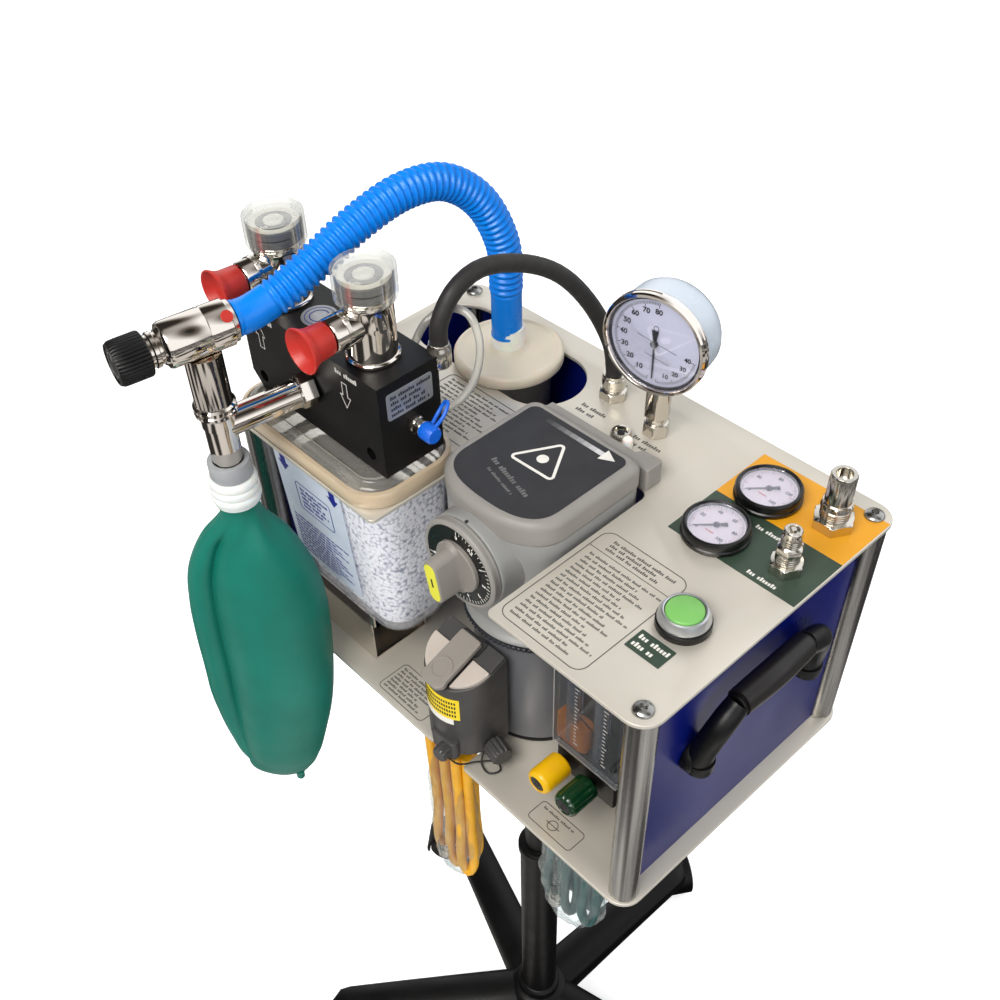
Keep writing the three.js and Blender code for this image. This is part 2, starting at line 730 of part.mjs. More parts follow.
function aplKnob() {
  return turnedForward(
    [
      [0, 41 + GAP],
      [16, 41 + GAP],
      [18.5, 44],
      [18.5, 66],
      [16.5, 69],
      [0, 69],
    ],
    [0, -ARM_REACH, APL_Z - ARM_ROOT[2]],
    24,
  );
}

function breathingBag() {
  // From the closed tail up to the neck: height, half width and half depth of each ring, and how far it
  // hangs off the neck's line.
  const rings = [
    [BAG_BOTTOM_Z, 9, 6, -3],
    [BAG_BOTTOM_Z + 14, 28, 12, -4],
    [800, 50, 24, -5],
    [870, 64, 34, -6],
    [950, 70, 42, -5],
    [1020, 69, 44, -4],
    [1070, 55, 38, -2],
    [1105, 33, 27, 0],
    [1135, 19, 19, 0],
    [1150, 17, 17, 0],
    [ARM_FOOT_Z - GAP, 18, 18, 0],
  ];
  const body = lofted(
    rings.map(([z, halfW, halfD, side]) => [z - ARM_ROOT[2], side, 0, halfW, halfD]),
    16,
  );
  return body.rotateZ(BAG_YAW).translate(0, -ARM_REACH, 0);
}

// ---- Hoses and the scavenging canister ----

function scavengeHose() {
  // It leaves the valve's exhaust spigot, climbs over the block and drops onto the canister's nipple.
  return hose(
    [
      [-158.3, -181.1, APL_Z],
      [-156.6, -168.6, APL_Z],
      [-153, -142, APL_Z + 7],
      [-150, -110, 1341],
      [-148, -60, 1360],
      [-147, -12, 1368],
      [-144, 28, 1361],
      [-137, 60, 1334],
      [CANISTER_X, CANISTER_Y - 5, 1287],
      [CANISTER_X, CANISTER_Y - 2, 1240],
      [CANISTER_X, CANISTER_Y - 2, NIPPLE_TOP_Z + 2 * GAP],
    ],
    SCAVENGE_HOSE_R,
    26,
  );
}

function scavengeCanister() {
  return turned(
    [
      [0, CANISTER_UNDER_Z],
      [36, CANISTER_UNDER_Z],
      [40, CANISTER_UNDER_Z + 4],
      [41, DECK_Z + GAP],
      [53, DECK_Z + GAP],
      [53, DECK_Z + 11],
      [50, DECK_Z + 14],
      [NIPPLE_R + 1, DECK_Z + 15],
      [NIPPLE_R, DECK_Z + 18],
      [NIPPLE_R, NIPPLE_TOP_Z],
      [0, NIPPLE_TOP_Z],
    ],
    [CANISTER_X, CANISTER_Y, 0],
    24,
  );
}

function commonGasHose() {
  const [x, y] = COMMON_GAS;
  const fitting = turned(
    [
      [0, DECK_Z + GAP],
      [13, DECK_Z + GAP],
      [13, DECK_Z + 9],
      [10, DECK_Z + 11],
      [10, DECK_Z + 20],
      [0, DECK_Z + 20],
    ],
    [x, y, 0],
    12,
  );
  const rubber = hose(
    [
      [x, y, DECK_Z + 18],
      [x - 6, y, 1215],
      [-38, 96, 1258],
      [-50, 68, 1296],
      [-58, 28, 1321],
      [-62, -12, 1331],
      [-63, -38, 1322],
      [-64, -54, 1300],
      [-64, -56, 1284],
    ],
    GAS_HOSE_R,
    20,
    8,
  );
  return join(fitting, rubber);
}

// ---- Gauges, inlets and controls ----

function manometerCase() {
  const shell = turnedForward(
    [
      [0, -38],
      [MANOMETER_R - 10, -38],
      [MANOMETER_R - 4, -32],
      [MANOMETER_R - 3, -6],
      [MANOMETER_R, -5],
      [MANOMETER_R, 1],
      [MANOMETER_R - 3, 2],
      [MANOMETER_R - 5, -3],
      [0, -3],
    ],
    [0, 0, 0],
    28,
  );
  const spindle = bar([0, 4, 0], [0, 1, 0], 2.4, 12);
  return join(shell, spindle);
}

function manometerStem() {
  return turned([
    [0, DECK_Z + GAP],
    [12, DECK_Z + GAP],
    [12, DECK_Z + 14],
    [9, DECK_Z + 16],
    [9, DECK_Z + 22],
    [11.5, DECK_Z + 24],
    [11.5, MANOMETER_Z - MANOMETER_R + 10],
    [0, MANOMETER_Z - MANOMETER_R + 10],
  ], [0, 0, 0], 16);
}

// A pointer lying in the XY plane along +Y from its hub, with a short tail.
function pointer(length) {
  const shape = new THREE.Shape();
  shape.moveTo(-1.6, -length * 0.3);
  shape.lineTo(1.6, -length * 0.3);
  shape.lineTo(0.5, length);
  shape.lineTo(-0.5, length);
  shape.closePath();
  return join(raised(shape, 0, 0.8), turned([[0, -0.3], [3.4, -0.3], [3.4, 1.6], [0, 1.6]], [0, 0, 0], 16));
}

function panelGauge(at) {
  return turned(
    [
      [0, DECK_Z + GAP],
      [GAUGE_R - 1, DECK_Z + GAP],
      [GAUGE_R, DECK_Z + 3],
      [GAUGE_R, DECK_Z + GAUGE_H - 1],
      [GAUGE_R - 1, DECK_Z + GAUGE_H],
      [GAUGE_R - 3.5, DECK_Z + GAUGE_H],
      [GAUGE_R - 4.5, DECK_Z + GAUGE_H - 5],
      [0, DECK_Z + GAUGE_H - 5],
    ],
    [...at, 0],
    24,
  );
}

function gasInlet(at, big) {
  const grow = big ? 1.25 : 1;
  const nut = bar([...at, DECK_Z + GAP], [...at, DECK_Z + 10], 14 * grow, 6);
  const stem = turned(
    [
      [0, DECK_Z + 5],
      [9 * grow, DECK_Z + 5],
      [9 * grow, DECK_Z + 16],
      [6 * grow, DECK_Z + 18],
      [6 * grow, DECK_Z + 27],
      [10 * grow, DECK_Z + 29],
      [10 * grow, DECK_Z + 37],
      [6.5 * grow, DECK_Z + 38],
      [6.5 * grow, DECK_Z + 44 * grow],
      [0, DECK_Z + 44 * grow],
    ],
    [...at, 0],
    12,
  );
  return join(nut, stem);
}

function flushButton() {
  return turned(
    [
      [0, DECK_Z - 16],
      [FLUSH_R - 2, DECK_Z - 16],
      [FLUSH_R - 0.6, DECK_Z - 14],
      [FLUSH_R - 0.6, DECK_Z + 16],
      [FLUSH_R - 2.5, DECK_Z + 18],
      [0, DECK_Z + 18],
    ],
    [...FLUSH, 0],
    24,
  );
}

function flowmeterBlock() {
  // One clear acrylic block hung from the deck on its manifold: two vertical bores, a valve bore under each.
  const x0 = FLOW_X[0] - 12;
  const x1 = FLOW_X[1] + 30;
  const foot = FLOW_TUBE_FOOT_Z - 3;
  const body = block([x0, FLOW_Y - 12, foot], [x1, FLOW_Y + 14, DECK_UNDER - GAP]);
  const manifold = block([x0 + 2, FLOW_Y - 9, FLOW_KNOB_Z - 13], [x1 - 4, FLOW_Y + 12, foot + 1]);
  const bore = (x) => bar([x, FLOW_Y, FLOW_TUBE_FOOT_Z], [x, FLOW_Y, DECK_UNDER + 5], FLOW_TUBE_R, 12);
  const valve = (x) => bar([x, FLOW_Y - 40, FLOW_KNOB_Z], [x, FLOW_Y - 2, FLOW_KNOB_Z], 4.5, 12);
  return cut(join(body, manifold), ...FLOW_X.map(bore), ...FLOW_X.map(valve));
}

function flowKnob(x) {
  const r = FLOW_KNOB_R;
  const head = turnedForward(
    [
      [0, 12.5],
      [r - 2, 12.5],
      [r, 15],
      [r, 43],
      [r - 2, 45],
      [0, 45],
    ],
    [x, FLOW_Y, FLOW_KNOB_Z],
    18,
  );
  const stem = bar([x, FLOW_Y - 5, FLOW_KNOB_Z], [x, FLOW_Y - 20, FLOW_KNOB_Z], 4, 12);
  return join(head, stem);
}

function flowFloat(x) {
  const ball = new THREE.IcosahedronGeometry(FLOAT_R, 1);
  return ball.translate(x, FLOW_Y, FLOW_TUBE_FOOT_Z + FLOAT_R + GAP);
}

// A coiled supply hose in its bag, hanging under the base plate.
function supplyBag({ x, y, footZ, halfW, halfD }) {
  // Share of the height, then of the half width and half depth, from the foot up.
  const rings = [
    [0, 0.4, 0.4],
    [0.1, 0.85, 0.85],
    [0.4, 1, 1],
    [0.75, 0.9, 0.9],
    [1, 0.6, 0.5],
  ];
  const height = BASE_Z - PLATE_T - GAP - footZ;
  return lofted(rings.map(([up, w, d]) => [footZ + height * up, x, y, halfW * w, halfD * d]), 16);
}

// ---- Assembly ----

add("base_plate", basePlate(), FINISH.plate);
add("top_plate", topPlate(), FINISH.plate);
add("post_front_left", post(-POST_X, -POST_Y), FINISH.post);
add("post_front_right", post(POST_X, -POST_Y), FINISH.post);
add("post_back_left", post(-POST_X, POST_Y), FINISH.post);
add("post_back_right", post(POST_X, POST_Y), FINISH.post);

const PANEL_END_Y = POST_Y - POST_R - GAP;
const PANEL_END_X = POST_X - POST_R - GAP;
const PANEL_LOW = BASE_Z + GAP;
const PANEL_HIGH = DECK_UNDER - GAP;
const HALF_T = PANEL_T / 2;
const sidePanel = (x) =>
  block([x - HALF_T, -PANEL_END_Y, PANEL_LOW], [x + HALF_T, PANEL_END_Y, PANEL_HIGH]);
add("left_panel", sidePanel(-POST_X), FINISH.panel);
add("right_panel", sidePanel(POST_X), FINISH.panel);
const BACK_LOW = [-PANEL_END_X, POST_Y - HALF_T, PANEL_LOW];
const BACK_HIGH = [PANEL_END_X, POST_Y + HALF_T, PANEL_HIGH];
add("back_panel", block(BACK_LOW, BACK_HIGH), FINISH.panel);
add("carry_handle", carryHandle(), FINISH.blackPlastic);

add("stand_column", standColumn(), FINISH.blackPlastic);
add("star_base", starBase(), FINISH.blackPlastic);
for (let i = 0; i < LEGS; i += 1) {
  const caster = new THREE.Group();
  caster.position.set(CASTER_REACH * Math.cos(legAngle(i)), CASTER_REACH * Math.sin(legAngle(i)), 0);
  caster.rotation.z = legAngle(i) + Math.PI / 3;
  machine.add(caster);
  add(`caster_fork_${i + 1}`, casterFork(), FINISH.blackPlastic, caster);
  add(`caster_wheels_${i + 1}`, casterWheels(), FINISH.blackRubber, caster);
}

add("vaporizer_body", vaporizerBody(), FINISH.castGray);
add("vaporizer_cover", vaporizerCover(), FINISH.castGray);
add("vaporizer_dial", vaporizerDial(), FINISH.castGray);
add("filler_block", fillerBlock(), FINISH.fillerGray);
add("filler_lever", fillerLever(), FINISH.castGray);

add("absorber_canister", absorberCanister(), FINISH.granules);
add("absorber_lid", absorberLid(), FINISH.clear);
add("absorber_bracket", absorberBracket(), FINISH.polished);
add("valve_block", valveBlock(), FINISH.anodised);
const VALVES = { exhale: VALVE_MID_X + VALVE_HALF_SPAN, inhale: VALVE_MID_X - VALVE_HALF_SPAN };
for (const [name, x] of Object.entries(VALVES)) {
  add(`${name}_valve`, valveBody(x), FINISH.polished);
  add(`${name}_dome`, valveDome(x), FINISH.clear);
  add(`${name}_port_cap`, portCap(x), FINISH.redCap);
}

const arm = new THREE.Group();
arm.position.set(...ARM_ROOT);
arm.rotation.z = ARM_YAW;
machine.add(arm);
add("bag_arm", bagArm(), FINISH.polished, arm);
add("apl_body", aplBody(), FINISH.polished, arm);
add("apl_knob", aplKnob(), FINISH.blackPlastic, arm);
add("breathing_bag", breathingBag(), FINISH.teal, arm);

add("scavenge_hose", scavengeHose(), FINISH.blueHose);
add("scavenge_canister", scavengeCanister(), FINISH.cream);
add("common_gas_hose", commonGasHose(), FINISH.blackRubber);

const manometer = new THREE.Group();
manometer.position.set(...MANOMETER, 0);
manometer.rotation.z = MANOMETER_YAW;
machine.add(manometer);
const manometerHead = geometryOf(manometerCase()).translate(0, MANOMETER_HEAD_Y, MANOMETER_Z);
add("manometer_case", join(manometerHead, manometerStem()), FINISH.white, manometer);
const manometerPointer = geometryOf(pointer(34)).rotateX(Math.PI / 2).rotateY(Math.PI);
manometerPointer.translate(0, MANOMETER_HEAD_Y - 1, MANOMETER_Z);
add("manometer_needle", manometerPointer, FINISH.blackPlastic, manometer);

for (const [name, at] of Object.entries({ air: AIR_GAUGE, oxygen: OXYGEN_GAUGE })) {
  add(`${name}_gauge`, panelGauge(at), FINISH.blackPlastic);
  const needle = geometryOf(pointer(17)).rotateZ(THREE.MathUtils.degToRad(135));
  add(`${name}_gauge_needle`, needle.translate(...at, DECK_Z + GAUGE_H - 4), FINISH.blackPlastic);
}
add("air_inlet", gasInlet(AIR_INLET, true), FINISH.nickel);
add("oxygen_inlet", gasInlet(OXYGEN_INLET, false), FINISH.nickel);
add("flush_button", flushButton(), FINISH.green);

add("flowmeter_block", flowmeterBlock(), FINISH.clear);
add("air_flow_knob", flowKnob(FLOW_X[0]), FINISH.yellow);
add("oxygen_flow_knob", flowKnob(FLOW_X[1]), FINISH.darkGreen);
add("air_float", flowFloat(FLOW_X[0]), FINISH.polished);
add("oxygen_float", flowFloat(FLOW_X[1]), FINISH.polished);

add("air_supply_hose", supplyBag(AIR_SUPPLY), FINISH.yellow);
add("oxygen_supply_hose", supplyBag(OXYGEN_SUPPLY), FINISH.darkGreen);

// The origin: on the floor, under the middle of the bounding box.
const bounds = new THREE.Box3().setFromObject(machine, true);
const centre = bounds.getCenter(new THREE.Vector3());
machine.position.set(-centre.x, -centre.y, -bounds.min.z);

export default machine;
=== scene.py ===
import json
import math

import bmesh
import bpy
import numpy as np
from mathutils import Matrix, Vector


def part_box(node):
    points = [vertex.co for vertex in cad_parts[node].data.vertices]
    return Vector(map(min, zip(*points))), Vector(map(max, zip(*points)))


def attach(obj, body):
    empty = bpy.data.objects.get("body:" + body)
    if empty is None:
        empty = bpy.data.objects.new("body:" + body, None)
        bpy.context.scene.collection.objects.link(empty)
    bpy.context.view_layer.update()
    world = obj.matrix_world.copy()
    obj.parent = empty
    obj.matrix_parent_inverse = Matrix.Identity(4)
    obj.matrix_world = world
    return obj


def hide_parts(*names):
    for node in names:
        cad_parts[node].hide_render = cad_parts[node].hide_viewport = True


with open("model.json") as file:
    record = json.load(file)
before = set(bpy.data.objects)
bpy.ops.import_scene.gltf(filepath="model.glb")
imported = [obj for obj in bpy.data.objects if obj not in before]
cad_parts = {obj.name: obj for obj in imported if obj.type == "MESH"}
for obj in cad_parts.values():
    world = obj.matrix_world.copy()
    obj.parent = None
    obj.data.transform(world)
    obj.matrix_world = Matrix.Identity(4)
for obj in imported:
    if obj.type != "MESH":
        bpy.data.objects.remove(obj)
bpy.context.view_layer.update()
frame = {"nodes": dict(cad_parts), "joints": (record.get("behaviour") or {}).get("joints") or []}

# ---- The bench frame ----
# Shapes are drawn in millimetres from the stand's pole on the floor: x to the machine's right, y to its back.
# A level rounded plate is symmetric about the pole, so the base plate's middle is where the pole stands.

MM = 0.001
PLATE_LOW, PLATE_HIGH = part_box("base_plate")
POLE = np.array(((PLATE_LOW.x + PLATE_HIGH.x) / 2, (PLATE_LOW.y + PLATE_HIGH.y) / 2, 0.0))
RIGHT, FORWARD, UP, DOWN = (1, 0, 0), (0, -1, 0), (0, 0, 1), (0, 0, -1)


def bench(node):
    """Lowest and highest corner of a CAD node, in bench millimetres."""
    low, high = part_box(node)
    return (np.array(low) - POLE) / MM, (np.array(high) - POLE) / MM


def middle(node):
    return sum(bench(node)) / 2


def upright(node):
    """Middle x and y, lowest and highest z, and half the width of a CAD node."""
    low, high = bench(node)
    return (low[0] + high[0]) / 2, (low[1] + high[1]) / 2, low[2], high[2], (high[0] - low[0]) / 2


def joint(name):
    """A joint's point, in bench millimetres, and its axis."""
    made = next(j for j in frame["joints"] if j["name"] == name)
    return (np.array(made["pos_m"]) - POLE) / MM, np.array(made["axis"], float)


BASE_Z = bench("base_plate")[1][2]
DECK_UNDER, DECK_Z = bench("top_plate")[0][2], bench("top_plate")[1][2]
PLATE_HALF_W, PLATE_HALF_D = bench("base_plate")[1][:2]
VAP_LOW, VAP_HIGH = bench("vaporizer_cover")
VAP_X = (VAP_LOW[0] + VAP_HIGH[0]) / 2
VAP_HALF_W = (VAP_HIGH[0] - VAP_LOW[0]) / 2
VAP_NOSE, VAP_BACK = VAP_LOW[1], VAP_HIGH[1]
DIAL_LOW, DIAL_HIGH = bench("vaporizer_dial")
DIAL_R = (DIAL_HIGH[2] - DIAL_LOW[2]) / 2
DIAL_Z = (DIAL_HIGH[2] + DIAL_LOW[2]) / 2
DIAL_Y = DIAL_LOW[1] + 30
GRIP_TILT = 11
BLOCK_LOW, BLOCK_HIGH = bench("valve_block")
JAR_LOW, JAR_HIGH = bench("absorber_canister")
APL_AT, ARM_WAY = joint("apl_turn")
RISER = np.array((APL_AT[0], APL_AT[1], 0.0))
FIRST_CASTER_REACH = 315
FIRST_LEG_DEG = 16
AXIS_R = 0.02  # a profile's point on the axis stands this far off it

# ---- Shapes: a pair of vertices and faces ----


def circle(r, sides=64, at=(0, 0), start=0.0, sweep=2 * math.pi):
    """Points round an arc; a full circle doesn't repeat its first point."""
    count = sides if sweep >= 2 * math.pi - 1e-6 else sides + 1
    turns = [start + sweep * i / sides for i in range(count)]
    return [(at[0] + r * math.cos(t), at[1] + r * math.sin(t)) for t in turns]


def rounded(corners, steps=8):
    """A closed outline through (x, y, radius) corners, each filleted with its own radius."""
    loop = []
    for i, (x, y, r) in enumerate(corners):
        p = np.array((x, y), float)
        if r <= 0:
            loop.append(tuple(p))
            continue
        to_last, to_next = (np.array(c[:2]) - p for c in (corners[i - 1], corners[(i + 1) % len(corners)]))
        to_last, to_next = to_last / np.linalg.norm(to_last), to_next / np.linalg.norm(to_next)
        half = math.acos(max(-1.0, min(1.0, float(to_last @ to_next)))) / 2
        bisector = (to_last + to_next) / np.linalg.norm(to_last + to_next)
        centre = p + bisector * r / math.sin(half)
        first, last = (p + way * r / math.tan(half) - centre for way in (to_last, to_next))
        span = math.pi - 2 * half
        for k in range(steps + 1):
            a, b = math.sin((1 - k / steps) * span), math.sin(k / steps * span)
            loop.append(tuple(centre + (first * a + last * b) / math.sin(span)))
    return loop


def rectangle(x0, y0, x1, y1, r=0.0, steps=8):
    return rounded([(x0, y0, r), (x1, y0, r), (x1, y1, r), (x0, y1, r)], steps)


def shape(verts, faces):
    return np.array([tuple(v) for v in verts], float).reshape(-1, 3), list(faces)


def merged(*shapes):
    verts, faces, base = [], [], 0
    for v, f in shapes:
        verts.append(v)
        faces += [tuple(i + base for i in face) for face in f]
        base += len(v)
    return np.concatenate(verts), faces


def turned_to(z, x=None):
    """A rotation whose third axis is z and whose first lies as near x as it can."""
    z = Vector(z).normalized()
    x = Vector(x) if x is not None else Vector((1, 0, 0) if abs(z.x) < 0.9 else (0, 1, 0))
    x = (x - x.project(z)).normalized()
    return np.array(Matrix((x, z.cross(x), z)).transposed())


def placed(made, at=(0, 0, 0), z=UP, x=None, turn=0.0):
    """A shape turned about its own z by turn degrees, pointed along z and moved to a point."""
    verts, faces = made
    c, s = math.cos(math.radians(turn)), math.sin(math.radians(turn))
    spin = np.array(((c, -s, 0), (s, c, 0), (0, 0, 1)))
    return verts @ spin.T @ turned_to(z, x).T + np.array(at, float), faces


def stacked(rings, closed=False):
    """A skin over rings of equal length, capped at both ends unless it closes on itself."""
    count, levels = len(rings[0]), len(rings)
    faces = []
    for level in range(levels if closed else levels - 1):
        a, b = level * count, ((level + 1) % levels) * count
        faces += [(a + i, a + (i + 1) % count, b + (i + 1) % count, b + i) for i in range(count)]
    if not closed:
        faces += [tuple(range(count))[::-1], tuple((levels - 1) * count + i for i in range(count))]
    return shape([v for ring in rings for v in ring], faces)


def layered(outline, rows, closed=False):
    """A skin over an outline that changes with height; each row is what outline takes, and a height."""
    return stacked([[(x, y, z) for x, y in outline(given)] for given, z in rows], closed)


def prism(loop, z0, z1):
    return layered(lambda _: loop, ((0, z0), (0, z1)))


def slab(x0, y0, x1, y1, z0, z1, r=0.0, steps=8):
    return prism(rectangle(x0, y0, x1, y1, r, steps), z0, z1)


def lathe(profile, sides=64, at=None, z=UP, closed=False):
    """A profile of (radius, height) turned about z. A third value in a row is a function of the angle that gives
    the share of the radius there. A profile that isn't closed runs to the axis at both ends."""
    if not closed:
        first, last = ([(0, row[1])] if row[0] > AXIS_R else [] for row in (profile[0], profile[-1]))
        profile = [*first, *profile, *last]
    turns = [2 * math.pi * i / sides for i in range(sides)]
    rings = []
    for r, h, *share in profile:
        reach = [max(r, AXIS_R) * (share[0](t) if share else 1.0) for t in turns]
        rings.append([(q * math.cos(t), q * math.sin(t), h) for q, t in zip(reach, turns)])
    made = stacked(rings, closed)
    return made if at is None else placed(made, at, z)


def annulus(r0, r1, z0, z1, sides=96, at=None, z=UP):
    return lathe([(r0, z0), (r1, z0), (r1, z1), (r0, z1)], sides, at, z, closed=True)


def shaped(share, *rows):
    """Profile rows that all take one share of the radius."""
    return [(r, h, share) for r, h in rows]


def hexagon(t):
    sector = math.pi / 3
    return math.cos(sector / 2) / math.cos(t % sector - sector / 2)


def ribs(count, depth):
    return lambda t: 1.0 - depth * (0.5 - 0.5 * math.cos(count * t)) ** 2


def outlined(loop, width, z0, z1):
    """A printed line of some width along a closed outline."""
    points = np.array(loop, float)
    ahead = np.roll(points, -1, 0) - points
    behind = points - np.roll(points, 1, 0)
    way = ahead / np.linalg.norm(ahead, axis=1)[:, None] + behind / np.linalg.norm(behind, axis=1)[:, None]
    way /= np.linalg.norm(way, axis=1)[:, None]
    side = np.stack((-way[:, 1], way[:, 0]), 1) * width / 2
    n = len(points)
    verts = [(*p, z) for z in (z0, z1) for p in (*(points + side), *(points - side))]
    faces = []
    for i in range(n):
        j = (i + 1) % n
        faces += [(i, j, n + j, n + i), (i + 2 * n, j + 2 * n, j + 3 * n, i + 3 * n)]
        faces += [(i, j, j + 2 * n, i + 2 * n), (n + i, n + j, j + 3 * n, i + 3 * n)]
    return shape(verts, faces)


def stroke(a, b, width, z0, z1):
    """One straight printed line."""
    a, b = np.array(a, float), np.array(b, float)
    way = (b - a) / np.linalg.norm(b - a)
    side = np.array((-way[1], way[0])) * width / 2
    return prism([a + side, a - side, b - side, b + side], z0, z1)


def curve_through(points, step=2.0):
    """A smooth line through the points, as a centripetal Catmull-Rom curve sampled about every step."""
    p = np.array(points, float)
    p = np.concatenate(([2 * p[0] - p[1]], p, [2 * p[-1] - p[-2]]))
    line = []
    for i in range(1, len(p) - 2):
        near = p[i - 1 : i + 3]
        knots = np.cumsum([0.0] + [np.linalg.norm(b - a) ** 0.5 for a, b in zip(near, near[1:])])
        count = max(2, int(np.linalg.norm(near[2] - near[1]) / step))
        for t in np.linspace(knots[1], knots[2], count, endpoint=False):
            row = list(near)
            for reach in (1, 2):
                row = [((knots[k + reach] - t) * row[k] + (t - knots[k]) * row[k + 1]) / (knots[k + reach] - knots[k])
                       for k in range(len(row) - 1)]
            line.append(((knots[2] - t) * row[0] + (t - knots[1]) * row[1]) / (knots[2] - knots[1]))
    line.append(p[-2])
    return np.array(line)


def hose(points, radius, step=2.0, sides=24, section=(1.0, 1.0)):
    """A round tube along a smooth line. radius may be a function of the length run so far and the whole length;
    section gives the share of the radius across and along up, for an oval."""
    line = curve_through(points, step)
    way = np.gradient(line, axis=0)
    way /= np.linalg.norm(way, axis=1)[:, None]
    run = np.concatenate(([0.0], np.cumsum(np.linalg.norm(np.diff(line, axis=0), axis=1))))
    side = np.array(turned_to(way[0]))[:, 0]
    rings = []
    for p, w, s in zip(line, way, run):
        side = side - w * (side @ w)
        side = side / np.linalg.norm(side)
        r = radius(s, run[-1]) if callable(radius) else radius
        wide, tall = side * section[0] * r, np.cross(w, side) * section[1] * r
        rings.append([p + wide * math.cos(t) + tall * math.sin(t)
                      for t in (2 * math.pi * i / sides for i in range(sides))])
    return stacked(rings)


def settle(thing, **values):
    """Sets several attributes of one thing."""
    for key, value in values.items():
        setattr(thing, key, value)
    return thing


def linked(name, data):
    """A new object in the scene."""
    made = bpy.data.objects.new(name, data)
    bpy.context.scene.collection.objects.link(made)
    return made


def curve_shape(curve, lift=0.0):
    """The solid that a text or outline curve makes, raised by lift."""
    holder = linked("curve", curve)
    mesh = bpy.data.meshes.new_from_object(holder.evaluated_get(bpy.context.evaluated_depsgraph_get()))
    made = shape([(v.co.x, v.co.y, v.co.z + lift) for v in mesh.vertices], [tuple(f.vertices) for f in mesh.polygons])
    bpy.data.objects.remove(holder)
    bpy.data.curves.remove(curve)
    bpy.data.meshes.remove(mesh)
    return made


def glyphs(text, size):
    """Generic figures as a thin solid in the XY plane, centred on the origin."""
    curve = bpy.data.curves.new("glyphs", "FONT")
    return curve_shape(settle(curve, body=text, size=size, align_x="CENTER", align_y="CENTER", extrude=0.1,
                              offset=0.03 * size, resolution_u=3))


def sheet_with_holes(outer, holes, z0, z1, rim=0.9):
    """A flat plate with openings and softly rounded rims."""
    curve = bpy.data.curves.new("sheet", "CURVE")
    settle(curve, dimensions="2D", fill_mode="BOTH", extrude=(z1 - z0) / 2 - rim, bevel_depth=rim,
           bevel_resolution=2, offset=-rim)
    for loop in (outer, *holes):
        spline = curve.splines.new("POLY")
        spline.points.add(len(loop) - 1)
        for point, (x, y) in zip(spline.points, loop):
            point.co = (x, y, 0, 1)
        spline.use_cyclic_u = True
    return curve_shape(curve, (z0 + z1) / 2)


def piece(name, made, look, slot=None, body="root", cad=None, smooth=35, bevel=0.0, subdivide=0):
    """A named object from a shape, riding on a CAD body and, if cad is given, shown in place of that node."""
    verts, faces = made
    mesh = bpy.data.meshes.new(name)
    mesh.from_pydata((verts * MM + POLE).tolist(), [], faces)
    tidy = bmesh.new()
    tidy.from_mesh(mesh)
    bmesh.ops.remove_doubles(tidy, verts=tidy.verts, dist=1e-6)
    bmesh.ops.recalc_face_normals(tidy, faces=tidy.faces)
    tidy.to_mesh(mesh)
    tidy.free()
    mesh.shade_smooth()
    mesh.set_sharp_from_angle(angle=math.radians(smooth))
    made_object = linked(name, mesh)
    made_object.data.materials.append(LOOKS[look])
    if bevel:
        soften(made_object, bevel)
    if subdivide:
        settle(made_object.modifiers.new("smooth", "SUBSURF"), levels=subdivide, render_levels=subdivide)
    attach(made_object, body)
    if cad:
        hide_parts(cad)


def soften(obj, width):
    settle(obj.modifiers.new("soft_edges", "BEVEL"), width=width * MM, segments=3, limit_method="ANGLE",
           angle_limit=math.radians(35), harden_normals=True)


def dress(node, look, bevel):
    """A CAD node whose shape is right, with a material and softened edges."""
    obj = frame["nodes"][node]
    obj.data.materials.clear()
    obj.data.materials.append(LOOKS[look])
    soften(obj, bevel)


# ---- Materials ----


def linear(colour):
    """A colour as seen on screen, turned into the linear one that shaders use."""
    return tuple(((c + 0.055) / 1.055) ** 2.4 if c > 0.04045 else c / 12.92 for c in colour) + (1.0,)


class Tree:
    """A small builder for the nodes of a material or a world."""

    def __init__(self, owner, kind="Material"):
        owner.use_nodes = True
        self.owner, self.tree = owner, owner.node_tree
        self.tree.nodes.clear()
        self.output = self.tree.nodes.new("ShaderNodeOutput" + kind)

    def add(self, kind, settings=None, give=0, **inputs):
        """Adds a node and gives one of its outputs. An input is named by its label, or as _0 by its place."""
        node = settle(self.tree.nodes.new("ShaderNode" + kind), **(settings or {}))
        for key, value in inputs.items():
            socket = node.inputs[int(key[1:]) if key[0] == "_" and key[1:].isdigit() else key.replace("_", " ")]
            if isinstance(value, bpy.types.NodeSocket):
                self.tree.links.new(value, socket)
            else:
                socket.default_value = value
        return node.outputs[give] if node.outputs else node

    def noise(self, scale, stretch=(1, 1, 1), detail=4.0, roughness=0.55):
        mapping = self.add("Mapping", Vector=self.add("TexCoord", give="Object"), Scale=stretch)
        return self.add("TexNoise", Vector=mapping, Scale=scale, Detail=detail, Roughness=roughness)

    def spread(self, value, low, high, from_low=0.3, from_high=0.7):
        return self.add("MapRange", Value=value, From_Min=from_low, From_Max=from_high, To_Min=low, To_Max=high)

    def blend(self, share, a, b):
        return self.add("Mix", {"data_type": "RGBA"}, give=2, _0=share, _6=a, _7=b)

    def math(self, operation, a, b):
        return self.add("Math", {"operation": operation}, _0=a, _1=b)

    def mix(self, share, a, b):
        return self.add("MixShader", _0=share, _1=a, _2=b)

    def finish(self, shader):
        self.tree.links.new(shader, self.output.inputs["Surface"])
        return self.owner


